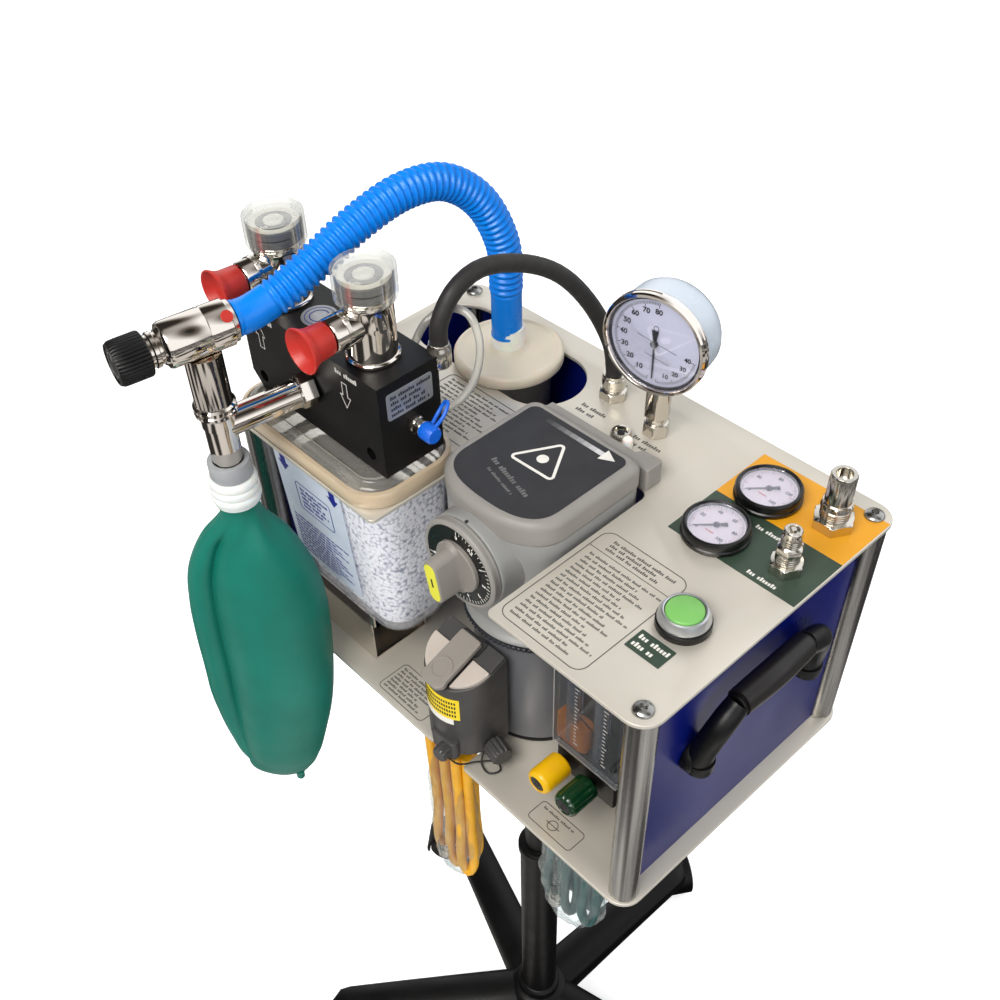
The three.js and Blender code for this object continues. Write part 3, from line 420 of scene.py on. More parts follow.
def surface(name, tone, second=None, patch=18, rough=0.4, bump=0.06, grain=1500, stretch=(1, 1, 1), spread=0.08,
            metal=0.0, coat=0.0, sheen=0.0, soft=0.0, wear=None, worn=0.8, shine=0.5):
    """A solid material: two tones in patches, a fine grain in roughness and bump, and optional worn edges."""
    t = Tree(bpy.data.materials.new(name))
    patches, grains = t.noise(patch, stretch), t.noise(grain, stretch, detail=2.0)
    seen = t.blend(t.spread(patches, 0.0, 1.0), linear(tone), linear(second or [c * 0.9 for c in tone]))
    if wear is not None:
        rounded_normal = t.add("Bevel", {"samples": 4}, Radius=worn * MM)
        alike = t.add("VectorMath", {"operation": "DOT_PRODUCT"}, "Value", _0=rounded_normal,
                      _1=t.add("NewGeometry", give="Normal"))
        edge = t.spread(alike, 0.0, 0.6, 0.995, 0.8)
        seen = t.blend(t.math("MULTIPLY", edge, t.spread(t.noise(220), 0.2, 1.0)), seen, linear(wear))
    bumped = t.add("Bump", Strength=bump, Distance=0.0006, Height=grains)
    return t.finish(t.add(
        "BsdfPrincipled", Base_Color=seen, Roughness=t.spread(patches, max(0.02, rough - spread), rough + spread),
        Metallic=metal, Normal=bumped, Coat_Weight=coat, Coat_Roughness=0.08, Sheen_Weight=sheen,
        Subsurface_Weight=soft, Subsurface_Scale=0.004, Specular_IOR_Level=shine))


def clear(name, tint, haze, edge, rough=0.04, frost=None, shine=1.0, ripple=0.04):
    """Clear plastic or glass: you see through its face, and its rims catch the light."""
    t = Tree(bpy.data.materials.new(name))
    wavy = t.add("Bump", Strength=ripple, Distance=0.001, Height=t.noise(90))
    amount = t.spread(t.add("LayerWeight", give="Facing", Blend=0.3, Normal=wavy), haze, edge, 0.0, 1.0)
    gloss = t.add("BsdfPrincipled", Base_Color=linear(frost or tint), Normal=wavy, IOR=1.49,
                  Roughness=t.spread(t.noise(35), rough, rough + 0.08))
    mixed = t.mix(amount, t.add("BsdfTransparent", Color=linear(tint)), gloss)
    sparkle = t.math("MULTIPLY", t.add("Fresnel", IOR=1.45, Normal=wavy), shine)
    return t.finish(t.mix(sparkle, mixed, t.add("BsdfGlossy", Color=(1, 1, 1, 1), Roughness=0.03, Normal=wavy)))


def granular(name, light, gap_shade, scale):
    """A bed of pale granules, with painted shade in the gaps between them and a faint painted glow over all of it."""
    t = Tree(bpy.data.materials.new(name))
    place = t.add("TexCoord", give="Object")
    cells = t.add("TexVoronoi", Vector=place, Scale=scale, Randomness=1.0).node.outputs
    speck = t.spread(t.add("SeparateColor", Color=cells["Color"]), 0.0, 0.35, 0.0, 1.0)
    # The second colour is painted shade, laid into the gaps between the granules.
    tone = t.blend(t.spread(cells["Distance"], 0.0, 1.0, 0.50, 0.95),
                   t.blend(speck, linear(light), linear((0.88, 0.89, 0.93))), linear(gap_shade))
    bumped = t.add("Bump", Strength=0.7, Distance=0.0015, Height=t.math("SUBTRACT", 1.0, cells["Distance"]))
    # Emission_Strength paints a faint glow over the granules to brighten them; they give off no light of their own.
    return t.finish(t.add("BsdfPrincipled", Base_Color=tone, Roughness=0.6, Normal=bumped, Emission_Color=tone,
                          Emission_Strength=0.12))


# Each row: name, usual slot, the main tone, a second tone, patch scale, roughness, bump, and what else differs.
SURFACES = """
satin_plate plate  .84 .815 .765  .8 .78 .735  7 .4 .035 metal=.45 grain=2600
printed_line panel  .3 .29 .27  .36 .35 .33  80 .5 .06
post_aluminium post  .72 .715 .7  .5 .495 .485  190 .26 .05 stretch=1,1,.02 metal=1 grain=900
blue_enamel panel  .03 .085 .42  .02 .07 .37  9 .3 .008 spread=.04 grain=500 shine=.3
black_moulding black_plastic  .03 .029 .03  .02 .019 .021  40 .42 .1 grain=1800 wear=.14,.13,.13 shine=.35
brown_black_grip black_plastic  .1 .085 .08  .07 .06 .056  30 .38 .05 grain=1500
stand_black base_black  .022 .02 .022  .014 .013 .015  20 .42 .1 grain=1100 wear=.08,.075,.07 shine=.25
tread_rubber tread  .07 .068 .065  .1 .095 .09  60 .62 .2 grain=700
warm_gray_casting casting  .56 .545 .525  .535 .52 .5  22 .42 .09 grain=1300 wear=.68,.67,.64 worn=1
cool_gray_casting casting  .56 .56 .55  .53 .53 .52  20 .38 .07 grain=1400
sump_gray casting  .42 .425 .44  .38 .385 .4  25 .38 .06 stretch=1,1,.3 grain=1400
flange_teeth casting  .16 .17 .19  .12 .13 .15  60 .45 .08
disc_gray manometer_white  .27 .27 .275  .23 .23 .235  40 .35 .03
dome_gray manometer_white  .44 .44 .44  .4 .4 .4  40 .4 .04
charcoal_label casting  .165 .165 .175  .145 .145 .155  30 .5 .03 grain=2200
label_white manometer_white  .9 .89 .86  .86 .85 .82  90 .5 .03 grain=2500
label_silver nickel  .66 .67 .68  .6 .61 .62  60 .34 .04 metal=.6 grain=2600
faded_print casting  .5 .5 .49  .34 .34 .34  24 .5 .06
dial_black gauge_black  .045 .05 .05  .03 .035 .035  50 .3 .02
dial_gray dial  .545 .525 .5  .515 .495 .47  30 .45 .05
filler_gray filler  .27 .265 .26  .235 .23 .225  26 .42 .08 grain=1400 wear=.4,.39,.37
cream_part canister_cream  .76 .72 .68  .73 .69 .65  26 .42 .05
lever_gray casting  .565 .54 .51  .53 .51 .48  26 .4 .07 wear=.66,.64,.61
yellow_label knob_yellow  .95 .84 .1  .92 .8 .08  40 .35 .03
dial_yellow knob_yellow  .86 .85 .24  .83 .81 .2  40 .4 .03
amber_block knob_yellow  .88 .52 .2  .8 .44 .14  30 .34 .05
polished_plate polished  .93 .9 .87  .88 .85 .81  4 .06 .003 spread=.015 metal=1 grain=900
nickel_plate nickel  .86 .84 .8  .8 .78 .74  30 .15 .012 spread=.03 metal=1 grain=1200
screw_steel nickel  .7 .7 .69  .58 .58 .57  160 .24 .05 metal=1 grain=1500
machined_ring nickel  .8 .81 .82  .76 .77 .78  12 .36 .001 spread=.03 metal=.9 grain=900
black_anodised anodised  .04 .038 .04  .03 .029 .031  14 .4 .05 metal=.2 grain=2400 wear=.18,.17,.17 worn=.6 shine=.35
red_cap red_cap  .74 .175 .13  .69 .14 .1  30 .42 .05 soft=.1
teal_skin bag_teal  .02 .465 .4  .015 .41 .35  11 .46 .09 spread=.06 grain=1300 soft=.04 shine=.35
bag_collar canister_cream  .9 .91 .9  .84 .86 .85  30 .34 .04 soft=.3
gray_ring manometer_white  .62 .63 .64  .56 .57 .58  30 .34 .04
blue_hose hose_blue  0 .5 .89  0 .46 .84  18 .26 .02 spread=.05 grain=900 soft=.05 shine=.35
blue_cap hose_blue  .04 .4 .84  .03 .35 .78  60 .34 .04
cream_lid canister_cream  .86 .82 .745  .83 .79 .715  20 .4 .03 soft=.25
canister_gray canister_cream  .36 .35 .34  .31 .3 .295  30 .4 .06
nipple_white canister_cream  .93 .92 .88  .89 .88 .84  40 .28 .02 soft=.5
black_rubber rubber_black  .12 .108 .1  .09 .082 .075  60 .58 .16 grain=1800 sheen=.05
white_enamel manometer_white  .78 .82 .865  .75 .79 .835  16 .3 .03 grain=800 coat=.2
dial_white manometer_white  .9 .91 .93  .875 .885 .905  30 .45 .02
dial_cream manometer_white  .92 .88 .86  .9 .86 .84  30 .5 .02
dial_ink needle  .06 .06 .07  .09 .09 .1  90 .5 .06
dial_red red_cap  .78 .17 .14  .7 .14 .12  90 .5 .06
green_cap flush_green  .475 .72 .38  .44 .69 .35  30 .38 .03 soft=.1
zone_green panel  .2 .27 .215  .175 .24 .19  20 .42 .04
zone_yellow panel  .875 .615 .1  .85 .585 .08  20 .38 .04
knob_yellow knob_yellow  .91 .71 .01  .88 .66 .01  40 .34 .04 soft=.1
knob_green knob_green  .04 .22 .1  .03 .18 .075  40 .2 .02 coat=.3
blue_arrow panel  .08 .13 .55  .06 .1 .48  60 .45 .06
pale_label canister_cream  .8 .83 .88  .745 .785 .845  38 .34 .02
supply_yellow supply_yellow  .91 .68 .09  .86 .6 .05  50 .38 .05
supply_green supply_green  .01 .33 .32  .01 .26 .25  50 .36 .05"""
# Each row: name, usual slot, tint, haze face on, haze at the rim, and what else differs.
CLEARS = """
clear_lid clear  .95 .94 .92  .14 .6 frost=.84,.83,.8
clear_rim clear  .9 .85 .77  .62 .92 frost=.86,.78,.66
clear_wall clear  .99 .99 1  0 .3 shine=.5
clear_dome clear  .97 .97 .96  0 .2 frost=.9,.9,.9 shine=.4 ripple=0
acrylic flow_clear  .92 .93 .94  0 .1 shine=.35 ripple=0
gauge_glass clear  .98 .98 1  0 .02 shine=.35 ripple=0
guard_edge flow_clear  .9 .91 .92  .3 .75 frost=.75,.74,.72
tube_glass flow_clear  .95 .97 1  .03 .35 shine=.8
tube_clear clear  .9 .9 .88  .35 .75 frost=.9,.89,.86
bag_film clear  .96 .98 .98  .01 .16 rough=.08 shine=.35"""
# granules: the pale granule colour, then painted shade for the gaps between granules, then the cell scale.
LOOKS = {"granules": granular("granules", (0.99, 0.99, 0.995), (0.50, 0.52, 0.60), 270)}
ARROW_STEPS = 9


def numbers(text):
    """One number, or a row of them with commas between."""
    row = [float(v) for v in text.split(",")]
    return row if len(row) > 1 else row[0]


def make_looks():
    for table, make in ((SURFACES, surface), (CLEARS, clear)):
        for row in table.strip().splitlines():
            name, slot, *values = row.split()
            plain = [float(v) for v in values if "=" not in v]
            more = {key: numbers(value) for key, value in (v.split("=") for v in values if "=" in v)}
            tones = [plain[:3], plain[3:6]] if make is surface else [plain[:3]]
            LOOKS[name] = make(name, *tones, *plain[3 * len(tones) :], **more)
    for i in range(ARROW_STEPS):
        name = f"arrow_tone_{i}"
        LOOKS[name] = surface(name, [0.24 + 0.58 * (i / (ARROW_STEPS - 1))] * 3, rough=0.5, patch=60)


# ---- Small shared parts ----


def button_screw(name, at, z=UP, r=8.5):
    """A domed screw head with a hexagon socket."""
    height = r * 0.52
    dome = [(r * math.cos(a), height * math.sin(a)) for a in np.linspace(0.05, 1.05, 8)]
    socket = shaped(hexagon, (r * 0.42, height * 0.92), (r * 0.38, height * 0.25))
    profile = [(AXIS_R, -0.3), (r, -0.3), *dome, *socket, (AXIS_R, height * 0.2)]
    piece(name, lathe(profile, 48, at, z), "screw_steel", smooth=30)


def text_rules(x0, y0, x1, y1, rows, z0, z1, height=2.2):
    """Rows of small upright bars, grouped like words, that stand for print."""
    boxes = []
    pitch = (y1 - y0) / rows
    tall = min(height, pitch * 0.62)
    wide, gap = tall * 0.42, tall * 0.2
    for row in range(rows):
        y = y1 - (row + 0.5) * pitch - tall / 2
        end = x1 - (x1 - x0) * 0.35 * ((row * 5) % 7) / 7
        x, word = x0, 0
        while x + wide < end:
            for letter in range(3 + (row * 7 + word * 5) % 6):
                if x + wide > end:
                    break
                rise = tall * (0.72 if (letter * 3 + word + row) % 4 else 1.0)
                boxes.append(prism([(x, y), (x + wide, y), (x + wide, y + rise), (x, y + rise)], z0, z1))
                x += wide + gap
            x += wide * 1.5
            word += 1
    return merged(*boxes)


def scale_marks(radius, length, first, last, count, width, z, long_every=5, long_by=1.6):
    """Ticks round a dial, from the angle first to the angle last in degrees."""
    marks = []
    for i in range(count + 1):
        a = math.radians(first + (last - first) * i / count)
        grow = long_by if i % long_every == 0 else 1.0
        way = np.array((math.cos(a), math.sin(a)))
        wide = width * (1.3 if grow > 1 else 1.0)
        marks.append(stroke(way * (radius - length * grow), way * radius, wide, z, z + 0.15))
    return merged(*marks)


def figures(values, radius, first, last, size, z, upright=True):
    """Numbers round a dial at even angles."""
    made = []
    for i, value in enumerate(values):
        a = first + (last - first) * i / max(1, len(values) - 1)
        x, y = radius * math.cos(math.radians(a)), radius * math.sin(math.radians(a))
        made.append(placed(glyphs(str(value), size), (x, y, z + 0.1), turn=0 if upright else a - 90))
    return merged(*made)


# ---- Chassis ----


def chassis():
    w, d, corner = PLATE_HALF_W, PLATE_HALF_D, 20
    notch_x0, notch_x1, notch_y = VAP_X - 71, VAP_X + 68.4, bench("vaporizer_body")[1][1] + 3
    notch = [(notch_x0, -d, 5), (notch_x0, notch_y, 12), (notch_x1, notch_y, 12), (notch_x1, -d, 5)]
    drain = [(9, -d, 5), (9, -112, 10), (49, -112, 10), (49, -d, 5)]
    canister_y = middle("scavenge_canister")[1]
    holes = [
        rectangle(JAR_LOW[0] - 2, JAR_LOW[1] - 2, JAR_HIGH[0] + 2, JAR_HIGH[1] + 2, 30),
        rectangle(-243, canister_y - 42.5, -43, canister_y + 42.5, 42.4, 16),
        circle(16.6, 64, middle("flush_button")[:2]),
    ]
    for plate, cut, openings, z0, z1 in (
        ("top_plate", notch, holes, DECK_UNDER, DECK_Z), ("base_plate", drain, [], BASE_Z - 4, BASE_Z)
    ):
        outer = rounded([(-w, -d, corner), *cut, (w, -d, corner), (w, d, corner), (-w, d, corner)])
        piece(plate + "_skin", sheet_with_holes(outer, openings, z0, z1), "satin_plate", cad=plate)
    flute = lambda t: 1.0 - 0.010 * (0.5 + 0.5 * math.cos(8 * t)) ** 6
    for name in ("post_front_left", "post_front_right", "post_back_left", "post_back_right"):
        x, y, low, high, r = upright(name)
        bar = [(r - 1, low), *shaped(flute, (r, low + 1), (r, high - 1)), (r - 1, high)]
        piece(name + "_bar", lathe(bar, 96, (x, y, 0)), "post_aluminium", cad=name)
        button_screw(name + "_top_screw", (x, y, DECK_Z + 0.3))
        button_screw(name + "_under_screw", (x, y, BASE_Z - 4.3), DOWN)
    for side in ("left", "right", "back"):
        dress(side + "_panel", "blue_enamel", 0.5)


def carry_handle():
    low, high = bench("carry_handle")
    face, out = low[0], high[0] - 10.5
    y0, y1 = low[1] + 14, high[1] - 14
    foot_z, top_z = low[2] + 13, high[2] - 11.5
    near = [(face + 9, y0, foot_z - 4), (face + 11, y0, foot_z + 14), (out - 1, y0 + 7, top_z - 14),
            (out, y0 + 24, top_z)]
    far = [(out, y1 - 34, top_z), (out - 1, y1 - 12, top_z - 11), (face + 11, y1, foot_z + 14),
           (face + 9, y1, foot_z - 4)]
    oval = (1.0, 1.15)
    elbow_r = lambda s, whole: 10.6 - 0.8 * math.exp(-(min(s, whole - s) / 8) ** 2)
    grip_r = lambda s, whole: 11.2 + 0.9 * math.sin(math.pi * s / whole)
    start, stop = np.array(near[-1]), np.array(far[0])
    way = (stop - start) / np.linalg.norm(stop - start)
    grip = [start + way * 1.2, (start + stop) / 2 + np.array((1.2, 0, 1.0)), stop - way * 1.2]
    piece("handle_grip", hose(grip, grip_r, 2.0, 32, oval), "brown_black_grip")
    piece("handle_core", hose([start - way * 3, stop + way * 3], 9.5, 4.0, 24), "black_moulding")
    for name, y, bend, cad in (("near", y0, near, "carry_handle"), ("far", y1, far, None)):
        piece(f"handle_{name}_elbow", hose(bend, elbow_r, 2.0, 32, oval), "black_moulding", cad=cad)
        foot = lathe([(15.5, 0), (16, 1.5), (16, 8), (14, 11)], 48, (face, y, foot_z), RIGHT)
        piece(f"handle_{name}_foot", foot, "black_moulding", bevel=0.5)
        cap = lathe([(11.6, 0), (12.4, 3), (12.4, 12)], 48, (face + 9, y, foot_z - 12))
        piece(f"handle_{name}_cap", cap, "black_moulding")


def rules_on(z, *rows):
    """Rows of bars at one height; each row is a text_rules box, its number of lines and their height."""
    return [text_rules(*row[:5], z, z + 0.18, row[5]) for row in rows]


def frames_on(z, *rows):
    """Printed frames at one height; each row is a rectangle and its corner radius."""
    return [outlined(rectangle(*row), 0.8, z, z + 0.2) for row in rows]


def deck_prints():
    """Printed zones, frames and rules. Words are left out."""
    z, split = DECK_Z, 75
    for name, look, y0, y1 in (("air_zone", "zone_yellow", split, 140), ("oxygen_zone", "zone_green", 13, split)):
        piece(name, slab(130, y0, PLATE_HALF_W - 1.2, y1, z, z + 0.25, 0.5, 2), look, bevel=0.08)
    frames = frames_on(z, (99, -149, 185, -23, 10), (-150, -38, -56, 30, 6))
    piece("deck_frames", merged(*frames, stroke((99, -46), (185, -46), 0.6, z, z + 0.2)), "printed_line")
    words = rules_on(z, (106, -144, 180, -50, 17, 2.6), (112, -43, 176, -28, 3, 3.2), (-144, -34, -62, 26, 12, 2.4),
                     (-30, 70, -2, 86, 2, 4.2), (34, 68, 66, 84, 2, 4.2))
    piece("deck_rules", merged(*words), "printed_line")
    x, y = middle("flush_button")[:2]
    piece("flush_tag", slab(x - 18, y - 46, x + 15, y - 25, z, z + 0.4, 0.8, 2), "zone_green", bevel=0.1)
    rules = text_rules(x - 15, y - 44, x + 13, y - 27, 2, z + 0.4, z + 0.6, 4.6)
    piece("flush_tag_rules", rules, "label_white", "panel")
    words = [text_rules(*box, 1, z + 0.25, z + 0.45, 4.0) for box in ((206, 15, 234, 23), (180, 60, 208, 68))]
    piece("zone_rules", merged(*words), "label_white", "panel")
    z = BASE_Z
    frames = frames_on(z, (129, -148, 181, -125, 4), (-84, -150, -18, -112, 5))
    words = rules_on(z, (134, -133, 172, -127, 1, 2.6), (-80, -147, -22, -115, 7, 2.8))
    symbol = [annulus(4.6, 5.4, 0, 0.2, 48, (153, -139, z)), stroke((145, -139), (161, -139), 0.8, z, z + 0.2)]
    piece("base_prints", merged(frames[0], *symbol, words[0], frames[1], words[1]), "printed_line")


# ---- Stand ----


def stand():
    low, top = (corner[2] for corner in bench("stand_column"))
    column = [(29, low), (30, low + 2), (30, low + 17), (27, low + 21), (25, low + 22), (25, 512), (27.5, 513),
              (27.5, 524), (25, 527), (19.2, 528), (19, 530), (19, top - 30), (22, top - 28), (24, top - 12),
              (34, top - 10), (70, top - 7), (70, top)]
    piece("stand_column_skin", lathe(column, 96), "stand_black", "stand_black", cad="stand_column", bevel=0.4)
    low, crest = (corner[2] for corner in bench("star_base"))
    under, reach = low + 10, FIRST_CASTER_REACH
    legs = []
    for i in range(5):
        turn = math.radians(FIRST_LEG_DEG + 72 * i)
        rings = []
        for share in np.linspace(0.0, 1.0, 22):
            along = share * (reach + 6)
            tip = math.sqrt(max(0.0, 1 - max(0.0, (along - reach + 22) / 28.5) ** 2))
            wide = (32 - 6 * share) * max(tip, 0.12)
            below, above = under - 8 * (1 - share) ** 2, crest - 8 * share**1.6 - 8 * (1 - tip)
            rings.append(leg_section(along, wide, below, above))
        verts, faces = stacked(rings)
        c, s = math.cos(turn), math.sin(turn)
        legs.append((verts @ np.array(((c, s, 0), (-s, c, 0), (0, 0, 1))), faces))
    hub = lathe([(34, low), (44, under + 4), (44, crest - 8), (40, crest - 2), (34, crest + 3)], 96)
    piece("star_base_skin", merged(*legs, hub), "stand_black", cad="star_base", smooth=45)
    for i in range(1, 6):
        caster(i)


def leg_section(along, wide, floor, roof):
    """One cross-section of a leg: flat underneath, crowned on top."""
    shoulder = floor + (roof - floor) * 0.55
    crown = [(wide * math.cos(a), shoulder + (roof - shoulder) * math.sin(a)) for a in np.linspace(0, math.pi, 13)]
    return [(along, y, z) for y, z in [(-wide, floor), (wide, floor)] + crown]


def caster(i):
    wheels, fork = f"caster_wheels_{i}", f"caster_fork_{i}"
    axle, axis = joint(f"caster_spin_{i}")
    pivot = joint(f"caster_swivel_{i}")[0]
    on_pivot = (pivot[0], pivot[1], 0)
    back = np.array((pivot[0] - axle[0], pivot[1] - axle[1], 0.0))
    back /= np.linalg.norm(back)
    r = axle[2] - bench(wheels)[0][2]
    gap, width = 6.6, 16
    rim = gap + width
    tyre = [(4.4, gap), (r * 0.62, gap), (r * 0.66, gap + 1.5), (r - 2, gap + 0.4), (r - 0.4, gap + 2.4),
            (r, gap + width / 2), (r - 0.4, rim - 2.4), (r - 2.6, rim - 0.3), (r * 0.72, rim - 0.3),
            (r * 0.68, rim - 2.2), (r * 0.3, rim - 2.6), (r * 0.24, rim - 0.2), (4.4, rim - 0.2)]
    left = lathe(tyre, 72, closed=True)
    made = merged(left, placed(left, z=DOWN), lathe([(4.2, -rim), (4.2, rim)], 24))
    piece(f"caster_{i}_wheels", placed(made, axle, axis), "tread_rubber", body=wheels, cad=wheels)
    hood_r, inner_r, half = r + 6, r + 1.6, rim + 2
    section = [(inner_r, -half), (hood_r - 2, -half), (hood_r, -half + 2.5), (hood_r, half - 2.5), (hood_r - 2, half),
               (inner_r, half)]
    rings = [[(math.cos(a) * q, math.sin(a) * q, h) for q, h in section]
             for a in np.linspace(-0.15, math.pi + 0.15, 25)]
    hood = placed(stacked(rings), axle, axis, x=np.cross(UP, axis))
    web = lathe([(r - 4, -5.4), (r - 4, 5.4)], 48, axle, axis)
    top = axle[2] + r
    crown = lathe([(0, top + 2), (12, top + 2), (11, bench("star_base")[0][2] + 9), (0, top + 12)], 32, on_pivot)
    neck = placed(slab(-8, -5.8, 18, 5.8, axle[2] + 20, top + 6, 4), on_pivot, x=-back)
    piece(f"caster_{i}_hood", merged(hood, web, crown, neck), "stand_black", body=fork, cad=fork, bevel=0.5)


# ---- Vaporizer ----


def plan(inset):
    """The vaporizer's outline from above: straight sides and back, one wide bowed front."""
    x0, x1 = VAP_X - VAP_HALF_W + inset, VAP_X + VAP_HALF_W - inset
    nose, shoulder, back = VAP_NOSE + inset, VAP_NOSE + 42, VAP_BACK - inset
    corner = max(12 - inset * 0.4, 4)
    left = [(x0, shoulder), (x0, shoulder - 30), (x0 + 32, nose), (VAP_X, nose)]
    right = [(VAP_X, nose), (x1 - 32, nose), (x1, shoulder - 30), (x1, shoulder)]
    loop = []
    for run in (left, right):
        p = np.array(run, float)
        for t in np.linspace(0, 1, 20, endpoint=run is right):
            b = (1 - t) ** 3 * p[0] + 3 * (1 - t) ** 2 * t * p[1] + 3 * (1 - t) * t * t * p[2] + t**3 * p[3]
            loop.append(tuple(b))
    for x, start in ((x1 - corner, 0.0), (x0 + corner, math.pi / 2)):
        loop += circle(corner, 8, (x, back - corner), start, math.pi / 2)
    return loop


def vaporizer():
    cover_z, top, round_r, under = VAP_LOW[2], VAP_HIGH[2], 8, 1060
    rows = [(2.2, cover_z), (0.4, cover_z + 1.2), (0, cover_z + 3)]
    rows += [(round_r * (1 - math.cos(a)), top - round_r + round_r * math.sin(a))
             for a in np.linspace(0, math.pi / 2, 9)]
    piece("vaporizer_cover_skin", layered(plan, rows), "warm_gray_casting", cad="vaporizer_cover", smooth=30)
    piece("vaporizer_label", prism(plan(9.5), top, top + 0.4), "charcoal_label", bevel=0.1)
    rows = [(4, under), (1.2, under + 2.5), (1, under + 6), (1, cover_z - 3), (1.4, cover_z - 1),
            (2.6, cover_z - 0.4)]
    piece("vaporizer_housing", layered(plan, rows), "cool_gray_casting", cad="vaporizer_body", smooth=30)
    piece("vaporizer_seam", prism(plan(2.8), cover_z - 0.6, cover_z + 0.3), "black_rubber")
    sump_at, r = (VAP_X + 10, -39, 0), 61.2
    flange = [(67.2, under - 10.4), (68, under - 9.6), (68, under - 8.8), (65, under - 7.4), (61, under - 3),
              (59.5, under + 1)]
    teeth = [(68, under - 15), *shaped(ribs(90, 0.02), (69.8, under - 14.4), (69.8, under - 11.2)),
             (69, under - 10.6)]
    sump = [(r - 3, BASE_Z + 0.4), (r - 1.5, BASE_Z + 4), (r, BASE_Z + 5), (r, under - 14)]
    for name, profile, sides, look in (
        ("vaporizer_flange", flange, 128, "cool_gray_casting"),
        ("vaporizer_flange_teeth", teeth, 360, "flange_teeth"),
        ("vaporizer_sump", sump, 128, "sump_gray"),
    ):
        piece(name, lathe(profile, sides, sump_at), look)
    piece("sump_foot_ring", annulus(r - 6, r + 0.6, BASE_Z + 0.3, BASE_Z + 2, 128, sump_at), "black_rubber")
    neck_r, neck_l = DIAL_R + 0.6, 47.6

    def flared(h):
        spread = 15 * (1 - h / neck_l) ** 2 / neck_r
        return lambda t: 1 + spread * min(1.0, max(0.0, 0.9 - 1.2 * math.sin(t)))

    rows = [(neck_r, h, flared(h)) for h in np.linspace(0, neck_l - 1.2, 14)]
    neck = lathe([*rows, (neck_r - 0.4, neck_l - 0.4), (neck_r - 1.2, neck_l)], 128,
                 (VAP_X, DIAL_Y + 8 + neck_l, DIAL_Z), FORWARD)
    piece("dial_neck", neck, "cool_gray_casting", smooth=40)
    pip = lathe([(1.6, 0), (1.6, 0.8), (0, 1.2)], 16, (VAP_X + 1, DIAL_Y + 9.4, DIAL_Z + DIAL_R), (0, -0.5, 1))
    piece("dial_pointer_dot", pip, "dial_ink")
    bar_y, bar_top, foot_z = VAP_BACK + 2.5, DECK_Z + 22.4, DECK_Z + 0.3
    rail = slab(VAP_X - 62, bar_y, VAP_X + 40, bar_y + 17, foot_z, bar_top - 5, 2, 3)
    piece("back_bar", rail, "warm_gray_casting", bevel=1.5)
    ends = [(VAP_X + 33, bar_y), (VAP_X + 65, bar_y), (VAP_X + 65, bar_y + 19), (VAP_X + 45, bar_y + 19)]
    end_block = prism(rounded([(*end, 2) for end in ends], 3), foot_z, bar_top)
    piece("back_bar_end", end_block, "warm_gray_casting", bevel=1.2)
    boss = [(9.6, 0.3), (9.8, 1.2), (9.4, 6), (8.4, 7.4), (6.4, 7.6), (5.8, 4.6), (0, 4.4)]
    core = [(3.4, 4.5), (3.4, 6.4), (2.4, 7)]
    stub = [(4.6, 0.3), (4.8, 1), (4.6, 9.5), (3.8, 10.6), (0, 10.8)]
    for name, profile, sides, x, y, look in (
        ("port", boss, 48, 2, 38, "nickel_plate"),
        ("port_core", core, 24, 2, 38, "dial_ink"),
        ("stub", stub, 32, 16, 31, "nipple_white"),
    ):
        piece("back_bar_" + name, lathe(profile, sides, (VAP_X + x, bar_y + y, DECK_Z)), look)
    label_graphics(top + 0.4)
    dial()
    filler()


def label_graphics(z):
    """A plain triangle with a dot, a fading arrow and two rows of bars."""
    corners = [(VAP_X - 22, -43, 3), (VAP_X + 26, -41, 3), (VAP_X + 2, -1, 3)]
    dot = lathe([(5.2, 0), (5.2, 0.2)], 40, (VAP_X + 1.6, -27, z))
    piece("label_triangle", merged(outlined(rounded(corners, 5), 2.6, z, z + 0.2), dot), "label_white", "casting")
    y, start, stop = 12, VAP_X - 32, VAP_X + 33
    joints = [start + (stop - start) * i / ARROW_STEPS for i in range(ARROW_STEPS + 1)]
    for i, (a, b) in enumerate(zip(joints, joints[1:])):
        piece(f"arrow_part_{i}", stroke((a, y), (b, y), 5.0, z, z + 0.2), f"arrow_tone_{i}")
    head = prism([(stop, y - 7), (stop + 13, y), (stop, y + 7)], z, z + 0.2)
    piece("arrow_head", head, "label_white", "casting")
    bars = merged(text_rules(-30, 0, 26, 8, 1, z, z + 0.2, 5.0), text_rules(-22, -8, 16, -3, 1, z, z + 0.2, 2.8))
    piece("label_bars", placed(bars, (VAP_X, -66, 0), turn=-14), "faded_print")


